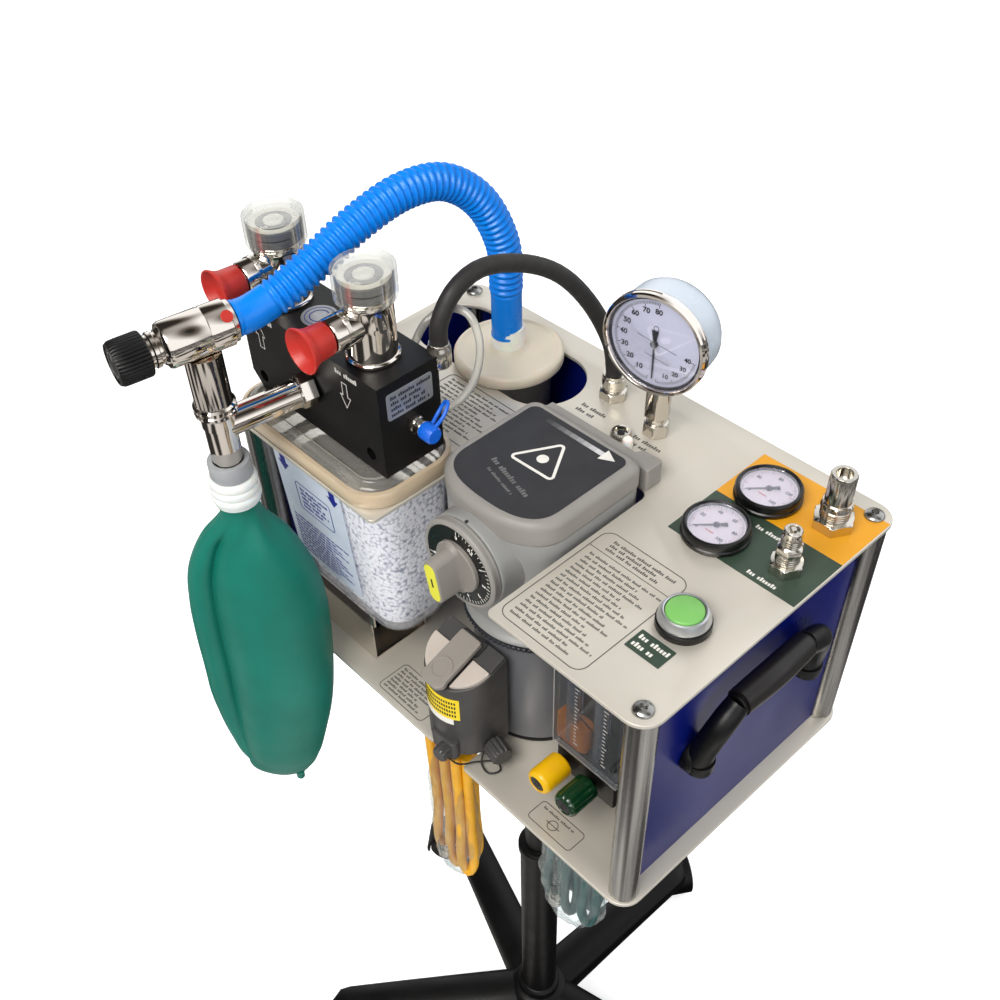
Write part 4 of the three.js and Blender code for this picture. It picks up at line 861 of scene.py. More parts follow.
def dial():
    r = DIAL_R

    def on_dial(name, made, look, slot="dial", **more):
        made = placed(made, (VAP_X, DIAL_Y, DIAL_Z), FORWARD, RIGHT)
        piece("dial_" + name, made, look, slot, "vaporizer_dial", **more)

    rim = lathe([(6.4, -17.5), (6.4, -7.4), (r - 1.5, -7.4), (r - 0.5, -6.6), (r - 0.8, -4.5), (r - 0.5, -3.5),
                 (r, -2.5), (r, 0), (r - 1.2, 1.6), (r - 3, 2.2), (r - 4.2, 1.4), (r - 4.4, 0.7)], 128)
    on_dial("rim", rim, "warm_gray_casting", cad="vaporizer_dial")
    on_dial("ring", annulus(24, r - 4.5, 0.7, 1.2, 128), "dial_black")
    first, last = 92, -168
    scale = merged(figures([0, 0.2, 1, 2, 3, 4, 5, 6, 8], 30.5, first, last, 5.2, 1.2, upright=False),
                   scale_marks(r - 5.5, 2.6, first, last, 40, 0.5, 1.2))
    on_dial("scale", scale, "label_white")
    on_dial("hub", lathe([(24.6, 0.7), (24.6, 4.2), (23.4, 5.2), (0, 5.4)], 96), "dial_gray")
    bar = rectangle(-7.8, -22.5, 7.8, 22.5, 7.7, 10)
    grown = lambda share: [(x * share, y * share) for x, y in bar]
    grip = layered(grown, ((1.18, 4.8), (1.04, 7), (0.99, 10), (0.96, 27.5), (0.93, 29.4), (0.86, 30)))
    tick = slab(-1, -4.5, 1, 4.5, 30.4, 30.6, 0.6, 3)
    for name, made, look, slot, smooth in (
        ("grip", grip, "dial_gray", "dial", 45),
        ("grip_mark", prism(grown(0.84), 30, 30.4), "dial_yellow", "knob_yellow", 35),
        ("grip_tick", tick, "dial_ink", "needle", 35),
    ):
        on_dial(name, placed(made, turn=GRIP_TILT), look, slot, smooth=smooth)


def filler():
    low, high = (corner[2] for corner in bench("filler_block"))
    r, cy, crest_z, slope = 36, -125, 1029, math.radians(20)
    loop = [(VAP_X + r, VAP_NOSE - 0.4), (VAP_X - r, VAP_NOSE - 0.4), *circle(r, 40, (VAP_X, cy), math.pi, math.pi)]
    top_at = lambda y: min(crest_z + (y - cy) * math.tan(slope), high)
    rings = [[(VAP_X + (x - VAP_X) * 0.965, cy + (y - cy) * 0.965, low + 1) for x, y in loop],
             [(x, y, low + 5) for x, y in loop], [(x, y, top_at(y) - 3.2) for x, y in loop]]
    piece("filler_body", stacked(rings), "filler_gray", cad="filler_block", bevel=1.4, smooth=30)
    seat = turned_to((0, -math.sin(slope), math.cos(slope)), RIGHT)

    def on_slope(name, made, look, **more):
        verts, faces = made
        piece("filler_" + name, (verts @ seat.T + np.array((VAP_X, cy, crest_z)), faces), look, **more)

    arc = circle(r - 0.5, 20, (0, 0), -math.pi / 2 + 0.43, math.pi / 2 - 0.45)
    right = rounded([(14.5, -0.5, 1), *[(x, y, 0) for x, y in arc], (r - 1.2, -0.5, 1)])
    left = [(-x, y) for x, y in right][::-1]
    for side, outline in (("right", right), ("left", left)):
        on_slope(side + "_wing", prism(outline, -3.2, 1.6), "cream_part", bevel=0.7)
    on_slope("back_pad", slab(-r + 0.5, 0.3, r - 0.5, 19.5, -3.2, 0.1, 1, 2), "filler_gray", bevel=0.5)
    on_slope("slot", outlined(rectangle(-14.6, 2, 14.6, 18.6, 3, 4), 1.6, -0.1, 0.9), "dial_ink")
    half = [(-13, 15.5, 3), (-13, -31, 2), (-15.5, -37, 6), (-8, -43, 5)]
    lever = prism(rounded(half + [(-x, y, q) for x, y, q in half[::-1]], 5), 1.8, 8.2)
    on_slope("lever_skin", lever, "lever_gray", body="filler_lever", cad="filler_lever", bevel=1.4)
    dish = lathe([(0, 0.2), (8.6, 0.2), (9.4, 0.9), (10.4, 0.9), (11, 0), (0, -0.6)], 64, (0, -24, 8.2))
    on_slope("lever_dish", dish, "lever_gray", body="filler_lever")

    def band(a0, a1, z0, z1, out):
        """A thin patch wrapped on the block's round front, between two angles in degrees."""
        section = ((r + 0.1, z0), (r + out, z0), (r + out, z1), (r + 0.1, z1))
        return stacked([[(VAP_X + q * math.cos(a), cy + q * math.sin(a), z) for q, z in section]
                        for a in np.linspace(math.radians(a0), math.radians(a1), 24)])

    rules = [band(a, a + 2.2, z, z + 3.2, 0.75) for z in (996, 990, 984, 978) for a in range(222, 304, 4)]
    piece("filler_yellow_label", band(214, 310, 974, 1003, 0.5), "yellow_label")
    piece("filler_white_strip", band(214, 300, 966, 973.8, 0.45), "label_white", "dial")
    piece("filler_label_rules", merged(*rules), "dial_ink")
    big = [(7, 0), (7, 3), (10.5, 4, ribs(12, 0.1)), *shaped(ribs(12, 0.12), (11, 6), (11, 20)),
           (9.5, 22, ribs(12, 0.1)), (0, 22)]
    piece("drain_screw", lathe(big, 144, (VAP_X + 34, cy - 1, low + 10), (1, -0.22, 0)), "filler_gray", smooth=30)
    small = [(6.5, 0), (8, 2, ribs(10, 0.1)), *shaped(ribs(10, 0.14), (8.3, 4), (8.3, 15)), (7, 17)]
    piece("clamp_screw", lathe(small, 120, (VAP_X + 10, cy - 31, low + 10), (0.1, -1, 0)), "filler_gray", smooth=30)
    boss = slab(VAP_X - 10, cy - 38, VAP_X + 22, cy - 28, low + 1, low + 24, 4, 4)
    piece("clamp_boss", boss, "filler_gray", bevel=1.5)
    line = ((16, -42, low + 8), (24, -34, BASE_Z + 8), (32, -18, BASE_Z + 4), (44, -4, BASE_Z + 2),
            (53, -8, BASE_Z + 2), (48, -18, BASE_Z + 2), (36, -16, BASE_Z + 3), (31, -6, low + 4))
    piece("screw_tether", hose([(VAP_X + x, cy + y, z) for x, y, z in line], 0.9, 1.5, 10), "black_rubber")


# ---- Absorber, valve block and valves ----


def absorber():
    x0, x1, y0, y1 = JAR_LOW[0], JAR_HIGH[0], JAR_LOW[1], JAR_HIGH[1]
    bottom, top = JAR_LOW[2], JAR_HIGH[2]

    def jar_outline(given):
        """The jar tapers: share is how far up its wall this level is."""
        share, inset = given
        side, front = 9 * (1 - share) + inset, 12 * (1 - share) + inset
        return rectangle(x0 + side, y0 + front, x1 - side, y1 - side, max(28 - inset, 10), 10)

    def jar(inset, floor):
        rows = [((0, inset + 12 - 12 * math.sin(a)), floor + 12 - 12 * math.cos(a))
                for a in np.linspace(0, math.pi / 2, 6)]
        rows += [((share, inset), bottom + 12 + (top - bottom - 12) * share) for share in np.linspace(0.08, 1, 8)]
        return layered(jar_outline, rows)

    piece("absorber_granules", jar(2.4, bottom + 9), "granules", cad="absorber_canister", smooth=50)
    piece("absorber_wall", jar(0.3, bottom), "clear_wall", smooth=50)
    lid_low, lid_high = bench("absorber_lid")
    z = lid_low[2]

    def lid(rows, closed=False):
        outline = lambda inset: rectangle(lid_low[0] + inset, lid_low[1] + inset, lid_high[0] - inset,
                                          lid_high[1] - inset, max(34 - inset, 12), 12)
        return layered(outline, [(inset, z + up) for inset, up in rows], closed)

    skirt = lid(((1, 0), (0, 1.5), (0, 12), (1.5, 14.6), (5, 15.2), (5.5, 12), (4.5, 1)), True)
    crown = lid(((6, 4), (6, 14), (8, 17), (10, 17.5), (11, 20.5), (13, 21.8), (16, 21.8), (17, 18.5), (20, 18)))
    piece("absorber_lid_rim", skirt, "clear_rim", cad="absorber_lid", smooth=50)
    piece("absorber_lid_crown", crown, "clear_lid", smooth=50)
    piece("absorber_lid_seal", lid(((12, 1), (12, 3), (14, 3.5))), "label_white", "canister_cream", smooth=50)
    lean = 12 / (top - bottom)

    def on_front(made, x, height):
        return placed(made, (x, y0 + lean * (top - height) - 0.2, height), (0, -1, -lean), RIGHT)

    piece("absorber_label", on_front(slab(-54, -72, 46, 76, 0, 0.5, 4), -152, 1078), "pale_label")
    arrow = prism([(-4, 9), (4, 9), (4, -2), (8, -2), (0, -12), (-8, -2), (-4, -2)], 0.5, 0.8)
    piece("absorber_arrows", merged(*(on_front(arrow, x, 1136) for x in (-192, -118))), "blue_arrow")
    art = merged(
        on_front(outlined(rectangle(-30, -16, 22, 20, 4), 0.9, 0.5, 0.7), -150, 1098),
        on_front(text_rules(-24, -12, 18, 16, 5, 0.5, 0.7, 3.4), -150, 1098),
        on_front(text_rules(-46, -34, 40, 20, 12, 0.5, 0.7, 2.4), -152, 1046),
    )
    piece("absorber_label_print", art, "blue_arrow")
    dress("absorber_bracket", "polished_plate", 0.7)


def valve_block():
    dress("valve_block", "black_anodised", 0.9)
    left, right, front, back, top = BLOCK_LOW[0], BLOCK_HIGH[0], BLOCK_LOW[1], BLOCK_HIGH[1], BLOCK_HIGH[2]
    middle_x = (left + right) / 2
    arrow = outlined([(-3.2, 12), (3.2, 12), (3.2, -1), (6.8, -1), (0, -13), (-6.8, -1), (-3.2, -1)], 0.8, 0, 0.25)
    words = text_rules(-16, -4, 14, 4, 1, 0, 0.2, 4.6)
    made = [placed(print_, (x, front - 0.05, z), FORWARD, RIGHT, turn) for print_, x, z, turn in (
        (arrow, right - 44, 1249, 0), (arrow, left + 26, 1249, 180), (words, middle_x - 59, 1270, 0),
        (words, middle_x + 57, 1270, 0))]
    piece("block_arrows", merged(*made), "label_white")
    side = ((right + 0.05, front + 32, 1254), RIGHT, (0, 1, 0))
    piece("block_side_label", placed(slab(-24, -13, 24, 13, 0, 0.6, 3), *side), "label_silver", bevel=0.15)
    piece("block_side_rules", placed(text_rules(-20, -11, 22, 11, 4, 0.6, 0.75, 3.6), *side), "dial_ink")
    port = (right + 0.1, front + 34, 1226)
    barb = [*shaped(hexagon, (8.5, 0), (8.5, 5)), (7, 6), (7, 12), (5.5, 13), (5.5, 18)]
    piece("sample_port", lathe(barb, 48, port, RIGHT), "nickel_plate", bevel=0.4)
    cap = [(7.4, 13), (8, 14.5), (8, 24, ribs(16, 0.05)), (6.5, 26.5), (0, 27)]
    piece("sample_cap", lathe(cap, 96, port, RIGHT), "blue_cap")
    x, y, z = port
    strap = [(x + 22, y + 4, z + 5), (x + 24, y + 12, z + 13), (x + 21, y + 20, z + 20), (x + 15, y + 22, z + 17),
             (x + 13, y + 16, z + 9), (x + 15, y + 7, z + 3)]
    piece("sample_cap_loop", hose(strap, 1.7, 1.5, 12), "blue_cap")
    on_top = (middle_x - 20, front + 32, top + 0.02)
    piece("block_sticker", lathe([(16, 0), (16, 0.3)], 64, on_top), "label_silver")
    rings = merged(annulus(8, 9, 0.3, 0.45, 48, on_top), annulus(12.5, 13.2, 0.3, 0.45, 48, on_top))
    piece("block_sticker_rings", rings, "blue_arrow")
    head = [(5.4, 0), (5.4, 4.5), (4.8, 5), *shaped(hexagon, (3, 5), (2.9, 2))]
    for name, x in (("left", middle_x - 77), ("right", middle_x + 77)):
        piece(f"block_{name}_screw", lathe(head, 48, (x, front + 13.5, 1202), FORWARD), "screw_steel")
    elbow_x = bench("common_gas_hose")[0][0] + 7.5
    elbow = lathe([(9, 1262), (10, 1264), (10, 1279), (8.6, 1281), (8.6, 1284)], 48, (elbow_x, back + 7, 0))
    stub = lathe([(7, -2), (7, 6)], 32, (elbow_x, back + 0.5, 1271), (0, 1, 0))
    piece("gas_elbow", merged(elbow, stub), "nickel_plate", bevel=0.4)
    line = ((-34, 1, 1266), (-30, 12, 1286), (-14, 24, 1304), (6, 30, 1304), (20, 28, 1284), (20, 20, 1252),
            (6, 10, 1226), (-14, 1, 1214))
    piece("sample_tube", hose([(right + x, back + y, z) for x, y, z in line], 3.4, 2.0, 18), "tube_clear")


def valves():
    for side in ("exhale", "inhale"):
        x, y, low, top, r = upright(f"{side}_dome")
        foot = BLOCK_HIGH[2] + 0.3
        cap_node = f"{side}_port_cap"
        cap_low, cap_high = bench(cap_node)
        port_z, reach, long = middle(cap_node)[2], y - cap_high[1], cap_high[1] - cap_low[1]
        barrel = [(22.5, foot), (23, foot + 0.8), (23, foot + 3), (22.2, foot + 4), (21, foot + 4.6), (21, 1308),
                  (21, 1327), (22.4, 1329), (23, 1331), (23, 1336), (22, 1337)]
        port = [(14.5, 0), (14.5, reach - 3), (13.6, reach - 1.6), (11, reach - 1.2), (11, reach + 11),
                (10, reach + 12), (8.5, reach + 12), (8.5, reach - 6)]
        made = merged(lathe(barrel, 96, (x, y, 0)), lathe(port, 72, (x, y, port_z), FORWARD))
        piece(f"{side}_turret", made, "polished_plate", cad=f"{side}_valve")
        band = annulus(14.6, 15.4, reach - 16, reach - 12.5, 72, (x, y, port_z), FORWARD)
        piece(f"{side}_turret_band", band, "polished_plate")
        cup = [(r - 1.5, top), (r, top - 1.5), (r, low + 2), (r - 0.6, low), (r - 2.4, low), (r - 2.4, top - 3)]
        piece(f"{side}_dome_skin", lathe(cup, 96, (x, y, 0)), "clear_dome", cad=f"{side}_dome")
        seat = [(22.8, 1337.1), (22.8, 1342.4), (21.6, 1343), (21.6, 1344), (22.8, 1344.6), (22.8, 1350),
                (21.8, 1350.8)]
        boss = [(8.6, 1351.3), (8.6, 1352.6), (7.8, 1353.2), (5.2, 1353.2), (4.8, 1352.5)]
        for name, made, look in (
            ("seat", lathe(seat, 72), "dome_gray"),
            ("seat_groove", annulus(21.7, 22.1, 1343.1, 1343.9, 72), "dial_ink"),
            # The white ring under the dome's top is a painted reflection of the light that the clear cup catches.
            ("painted_reflection_ring", annulus(15.5, 21.6, 1350.9, 1351.5, 72), "label_white"),
            ("disc", lathe([(15.4, 1350.9), (15.4, 1351.2)], 64), "disc_gray"),
            ("boss", lathe(boss, 48), "label_white"),
        ):
            piece(f"{side}_{name}", placed(made, (x, y, 0)), look)
        cap = [(11.5, long - 12), (11.5, 0.4), (12, 0), (13.2, 0), (13.8, 0.8), (14.6, long - 11), (16, long - 6.5),
               (19.3, long - 1.2), (19.1, long), (18, long), (14.4, long - 5.4), (12.6, long - 7), (11.6, long - 8)]
        cap = lathe(cap, 96, (x, cap_high[1], port_z), FORWARD)
        piece(f"{side}_cap", cap, "red_cap", body=cap_node, cad=cap_node, smooth=50)


# ---- Bag arm, pressure-limiting valve and bag ----


def bag_arm():
    reach = (RISER[1] - BLOCK_LOW[1]) / ARM_WAY[1]
    root = RISER - ARM_WAY * reach + np.array((0, 0, 1231.0))
    foot, top = (corner[2] for corner in bench("bag_arm"))
    pipe = [*shaped(hexagon, (15, 0.4), (15.2, 2), (15.2, 11), (14.4, 13)), (13.4, 13.4), (13.4, 15), (12.5, 15.6),
            (12.5, reach), (0, reach)]
    riser = [(12.8, foot), (13.5, foot + 1), (13.5, 1232), (14.6, 1234), (14.6, 1244), (16, 1246), (18, 1247.5),
             (18, 1250), (17, 1250.8), (17, 1251.8), (18, 1252.6), (18, 1255), (16, 1256.5), (15.6, 1258),
             (15.6, top)]
    made = merged(lathe(pipe, 96, root, ARM_WAY), lathe(riser, 96, RISER))
    piece("bag_arm_skin", made, "polished_plate", cad="bag_arm")
    barrel = [(16, -30), (17, -29.4), (17.4, -26), (19, -25), (19, -8), (18.6, -7), (18.6, -6), (19, -5), (19, 26),
              (18, 28.5), (15, 30), (14.4, 31), (13, 32), (13, 34), (14.5, 35), (14.5, 38), (13, 39), (13, 41)]
    piece("apl_barrel", lathe(barrel, 96, APL_AT, ARM_WAY), "polished_plate", cad="apl_body")
    knob = [(14, 41.4), (17.6, 42.5, ribs(36, 0.03)), *shaped(ribs(36, 0.05), (18.4, 44), (18.4, 60), (18.2, 66)),
            (16.6, 69), (14.6, 69.2), (14.2, 68.2)]
    knob = lathe(knob, 216, APL_AT, ARM_WAY)
    piece("apl_knob_skin", knob, "black_moulding", body="apl_knob", cad="apl_knob", smooth=50)
    marks = merged(annulus(9.5, 10.2, 68.2, 68.5, 64), stroke((0, 3), (0, 8.5), 1.4, 68.2, 68.5),
                   scale_marks(13.4, 1.6, 120, 420, 10, 0.5, 68.2))
    piece("apl_knob_marks", placed(marks, APL_AT, ARM_WAY), "faded_print", "manometer_white", body="apl_knob")
    dot_at = APL_AT - ARM_WAY * 20 + np.array((13.6, 0, 13.4))
    piece("apl_red_dot", lathe([(5, 0), (5, 0.4), (0, 0.5)], 32, dot_at, (1, 0, 1)), "red_cap")


def breathing_bag():
    low, top = (corner[2] for corner in bench("breathing_bag"))
    neck = [(13.8, top), (18, top), (18.6, top - 1), (18.6, top - 15), (17.6, top - 17), (13.8, top - 17)]
    piece("bag_neck_ring", lathe(neck, 72, RISER, closed=True), "gray_ring")
    wavy = [(13.8, top - 17.3), (19.4, top - 17.3)]
    for k in range(3):
        wavy += [(r + 0.4 * k, top - 19 - 8 * k - drop) for r, drop in ((21, 0), (21.4, 3), (21.2, 5.5), (20.2, 7))]
    wavy += [(20.5, top - 45), (13.8, top - 45)]
    piece("bag_collar", lathe(wavy, 96, RISER, closed=True), "bag_collar", smooth=60)
    across = math.radians(47)
    wide_way = np.array((math.cos(across), math.sin(across), 0.0))
    deep_way = np.array((-wide_way[1], wide_way[0], 0.0))
    # Height, half width, half depth and sideways hang of the skin, from the tail up to the collar.
    keys = np.array([
        (low + 0, 6, 4, -16), (low + 3, 18, 9, -19), (low + 14, 34, 17, -24), (low + 40, 49, 26, -27),
        (low + 80, 58, 32, -24), (low + 131, 64, 37, -17), (low + 190, 67, 41, -11), (low + 245, 68, 43, -8),
        (top - 173, 66, 43, -6), (top - 130, 58, 39, -5), (top - 98, 43, 32, -3), (top - 76, 27, 24, -1),
        (top - 62, 19.4, 19.2, 0), (top - 46, 18.2, 18.2, 0), (top - 30, 18, 18, 0),
    ], float)
    rings = []
    for z in np.concatenate((np.linspace(low, low + 14, 8)[:-1], np.linspace(low + 14, top - 30, 110))):
        wide, deep, hang = (smooth_between(z, keys[:, 0], keys[:, column]) for column in (1, 2, 3))
        rise = (z - low) / (top - low)
        rings.append(bag_section(z, rise, wide, deep, RISER + wide_way * hang, wide_way, deep_way))
    piece("bag_skin", stacked(rings), "teal_skin", cad="breathing_bag", smooth=80, subdivide=1)
    nub_at = RISER - wide_way * 6 - deep_way * 5 + np.array((0, 0, low))
    nub = lathe([(0, -9), (3.2, -8.4), (4.6, -6), (4.8, 2), (8, 9), (0, 10)], 32, nub_at)
    piece("bag_tail", nub, "teal_skin", smooth=80)
    bead = [(18.8 + a, top - 46.5 + b) for a, b in circle(1.2, 12)]
    piece("bag_lip", lathe(bead, 96, RISER, closed=True), "teal_skin", smooth=80)


def smooth_between(z, at, values):
    """A value between two rows, on the cubic that also follows their neighbours."""
    slopes = np.gradient(values, at)
    i = int(np.clip(np.searchsorted(at, z) - 1, 0, len(at) - 2))
    h = at[i + 1] - at[i]
    t = float(np.clip((z - at[i]) / h, 0, 1))
    a = (1 + 2 * t) * (1 - t) ** 2 * values[i] + t * (1 - t) ** 2 * h * slopes[i]
    return float(a + t * t * (3 - 2 * t) * values[i + 1] + t * t * (t - 1) * h * slopes[i + 1])


def bag_section(z, rise, wide, deep, centre, wide_way, deep_way, sides=180):
    """One level outline: a full lobe towards the right and a smaller one folded in behind its left."""

    def ease(a, b):
        t = min(1.0, max(0.0, (rise - a) / (b - a)))
        return t * t * (3 - 2 * t)

    fold = ease(0.01, 0.10) * (1 - ease(0.80, 0.90))
    small = 0.74 + 0.26 * ease(0.03, 0.36)
    lobes = (
        (0.20 * wide * fold, 0.0, wide * (1 - 0.20 * fold), deep * (1 - 0.02 * fold)),
        (-0.74 * wide * fold * small, 0.15 * deep * fold, wide * (1 - 0.74 * fold) * small, deep * (1 - 0.40 * fold)),
    )
    start_u, start_v = -0.58 * wide * fold * small, 0.08 * deep * fold
    blend_power = 30  # the higher, the sharper the crease where the lobes meet
    points = []
    for i in range(sides):
        t = 2 * math.pi * i / sides
        du, dv = math.cos(t), math.sin(t)
        reach = 0.0
        for cu, cv, a, b in lobes:
            pu, pv = start_u - cu, start_v - cv
            qa, qb = (du / a) ** 2 + (dv / b) ** 2, pu * du / a**2 + pv * dv / b**2
            qc = (pu / a) ** 2 + (pv / b) ** 2 - 1
            reach += max((-qb + math.sqrt(max(0.0, qb * qb - qa * qc))) / qa, 0.1) ** blend_power
        reach = reach ** (1 / blend_power) * (1 - 0.0228 * (1 - fold))
        reach *= 1 + 0.004 * fold * math.sin(5 * t + 11 * rise)
        reach *= 1 + 0.035 * math.sin(8 * t) * math.exp(-(((rise - 0.83) / 0.04) ** 2))
        point = centre + wide_way * (start_u + du * reach) + deep_way * (start_v + dv * reach)
        points.append((point[0], point[1], z))
    return points


# ---- Hoses and canister ----


def hoses():
    crest = bench("scavenge_hose")[1][2] - 15.5
    x, y, bottom, nipple_top, r = upright("scavenge_canister")
    start = APL_AT - ARM_WAY * 31
    points = [start, start - ARM_WAY * 14, (-153, -142, APL_AT[2] + 7), (-150, -110, crest - 27),
              (-148, -60, crest - 8), (-147, -12, crest), (-144, 28, crest - 7), (-137, 60, crest - 34),
              (x, y - 5, 1287), (x, y - 2, 1240), (x, y - 2, nipple_top - 14)]

    def corrugated(s, whole):
        cuff_start, cuff_end, pitch = 32.0, 44.0, 6.4
        inside = min(max(s - cuff_start, 0) / 5, max(whole - cuff_end - s, 0) / 5, 1.0)
        wave = 0.5 + 0.5 * math.cos(2 * math.pi * s / pitch)
        return 14.5 + inside * (2.5 * wave**1.2 - 1.2) + (0.5 if s < 3 or whole - s < 3 else 0)

    piece("scavenge_hose_skin", hose(points, corrugated, 0.8, 36), "blue_hose", cad="scavenge_hose", smooth=60)
    z = DECK_Z
    lid = [(r - 1, z + 0.6), (r, z + 1.6), (r, z + 9), (r - 1, z + 11), (r - 3, z + 12.4), (r - 5, z + 12.6),
           (r - 6.5, z + 11.4), (r - 9, z + 11), (22, z + 14.5), (19, z + 15.5), (17, z + 18)]
    piece("canister_lid", lathe(lid, 128, (x, y, 0)), "cream_lid", cad="scavenge_canister", smooth=50)
    tube = [(16.4, z + 15), (16, nipple_top - 8), (15.6, nipple_top - 7.4), (15.6, nipple_top - 6),
            (14.2, nipple_top - 5)]
    piece("canister_nipple", lathe(tube, 72, (x, y, 0)), "nipple_white")
    body = [(36, bottom), (39, bottom + 1.5), (40.5, bottom + 5), (40.5, z - 12), (41, z - 10), (41, z + 0.5)]
    piece("canister_body", lathe(body, 96, (x, y, 0)), "canister_gray")
    gas_low, gas_high = bench("common_gas_hose")
    gx, gy, crest = gas_high[0] - 13, gas_high[1] - 13, gas_high[2]
    elbow_x = gas_low[0] + 7.5
    points = [(gx, gy, z + 24), (gx - 6, gy, 1215), (-38, gy - 14, 1258), (-50, gy - 42, 1296),
              (-58, gy - 82, crest - 17), (-62, gy - 122, crest - 7), (-63, gy - 148, crest - 16),
              (elbow_x, gy - 164, 1300), (elbow_x, BLOCK_HIGH[1] + 7, 1280)]
    rubber = hose(points, lambda s, whole: 7.6 + 0.05 * math.sin(s * 0.7), 2.0, 32)
    piece("gas_hose_skin", rubber, "black_rubber", cad="common_gas_hose", smooth=60)
    z, r, hex_top, tall = z + 0.3, 13.5, 9, 26
    ferrule = [*shaped(hexagon, (r, z), (r * 1.02, z + 1), (r * 1.02, z + hex_top - 1)), (r * 0.92, z + hex_top),
               (r * 0.74, z + hex_top + 1), (r * 0.74, z + hex_top + 4), (r * 0.84, z + hex_top + 5),
               (r * 0.84, z + tall - 4), (r * 0.78, z + tall - 3), (r * 0.78, z + tall)]
    piece("gas_fitting", lathe(ferrule, 72, (gx, gy, 0)), "nickel_plate", bevel=0.35)


# ---- Gauges, inlets and controls ----


def manometer():
    centre, facing = joint("manometer_needle_turn")
    across = np.array((-facing[1], facing[0], 0.0))
    stem_x, stem_y = centre[:2] - facing[:2] * 19
    r = 47.5

    def on_face(name, made, look, slot=None, **more):
        piece("manometer_" + name, placed(made, centre - facing, facing, across), look, slot, **more)

    drum = [(r - 12, -40), (r - 6, -37), (r - 3.5, -32), (r - 3, -26), (r - 3, -6), (r - 6, -5)]
    on_face("drum", lathe(drum, 128), "white_enamel", cad="manometer_case", smooth=50)
    bezel = [(r - 6, -6), (r - 1, -6), (r, -5), (r, -3.4), (r - 0.8, -2.6), (r, -1.8), (r, 1.5), (r - 1.2, 3),
             (r - 3.4, 3.2), (r - 4.4, 2), (r - 5, -2.6), (r - 6, -2.6)]
    on_face("bezel", lathe(bezel, 128, closed=True), "polished_plate")
    on_face("inner_ring", annulus(r - 6.4, r - 4.6, -2.8, -0.4, 128), "dial_black")
    on_face("face", lathe([(r - 5.4, -4.9), (r - 5.4, -2.4)], 128), "dial_white")
    z = -2.4
    ticks = merged(scale_marks(r - 9, 2.6, 262, 88, 80, 0.42, z, 10, 1.9),
                   scale_marks(r - 9, 2.4, 276, 350, 30, 0.4, z, 10, 1.8),
                   figures(range(10, 90, 10), 30, 244, 88, 6.8, z), figures(range(10, 50, 10), 31, 292, 350, 6.0, z))
    on_face("scale", ticks, "dial_ink")
    art = merged(stroke((-17, 4), (20, -4), 0.5, z, z + 0.15), stroke((-9, -12), (14, -17), 0.5, z, z + 0.15),
                 annulus(2.0, 2.6, z, z + 0.2, 32, (0, 14, 0)))
    on_face("face_lines", art, "faded_print", "needle")
    on_face("glass", lathe([(r - 4.8, 0.7), (r - 4.8, 1.3), (0, 1.5)], 96), "gauge_glass")
    pointer = merged(
        prism([(-0.5, -r + 13), (0.5, -r + 13), (1.0, 0), (3.0, 13), (-3.0, 13), (-1.0, 0)], -1.2, -0.6),
        lathe([(3.2, -1.8), (3.2, 0.2), (2.6, 0.5)], 32),
    )
    on_face("pointer", pointer, "dial_ink", body="manometer_needle", cad="manometer_needle")
    z = DECK_Z + 0.3
    stem = [*shaped(hexagon, (12, z), (12.2, z + 1), (12.2, z + 12)), (11, z + 13.4), (9, z + 14), (9, z + 18),
            *shaped(hexagon, (11.6, z + 20), (11.9, z + 21), (11.9, z + 54)), (11, z + 55), (9, z + 56),
            (9, 1266 - r + 8)]
    piece("manometer_stem", lathe(stem, 72, (stem_x, stem_y, 0)), "nickel_plate", bevel=0.35)


def panel_gauges():
    for gas, values in (("air", range(0, 200, 40)), ("oxygen", range(0, 120, 20))):
        x, y, low, high, r = upright(f"{gas}_gauge")
        tall = high - low
        z = tall - 4
        bezel = [(r - 0.8, 0), (r, 1), (r, 4), (r - 1, 5), (r - 0.6, tall - 2), (r - 1.6, tall - 0.4), (r - 3, tall),
                 (r - 4.4, tall - 1), (r - 5, tall - 4.4)]
        face = [(r - 5.2, z - 0.4), (r - 5.2, z)]
        glass = [(r - 4.8, tall - 1.6), (r - 4.8, tall - 1.1), (0, tall - 1.0)]
        ink = merged(figures(values, r - 12.5, 225, -45, 4.4, z), scale_marks(r - 6.4, 1.7, 225, -45, 50, 0.3, z))
        red = merged(scale_marks(r - 9.2, 0.9, 200, -30, 24, 0.3, z), stroke((-4, -9), (4, -9), 1.0, z, z + 0.15))
        needle = merged(
            prism([(-0.4, r - 9), (0.4, r - 9), (1.1, 0), (2.3, -9), (-2.3, -9), (-1.1, 0)], z + 0.7, z + 1.1),
            lathe([(2.8, z + 0.3), (2.8, z + 1.6), (2, z + 2)], 32),
        )
        hand = f"{gas}_gauge_needle"
        for name, made, look, more in (
            ("bezel", lathe(bezel, 128), "dial_black", dict(cad=f"{gas}_gauge", smooth=40)),
            ("face", lathe(face, 96), "dial_cream", {}),
            ("scale", ink, "dial_ink", {}),
            ("red_marks", red, "dial_red", {}),
            ("glass", lathe(glass, 96), "gauge_glass", {}),
            ("needle", placed(needle, turn=135), "dial_ink", dict(body=hand, cad=hand)),
        ):
            piece(f"{gas}_{name}", placed(made, (x, y, low)), look, **more)


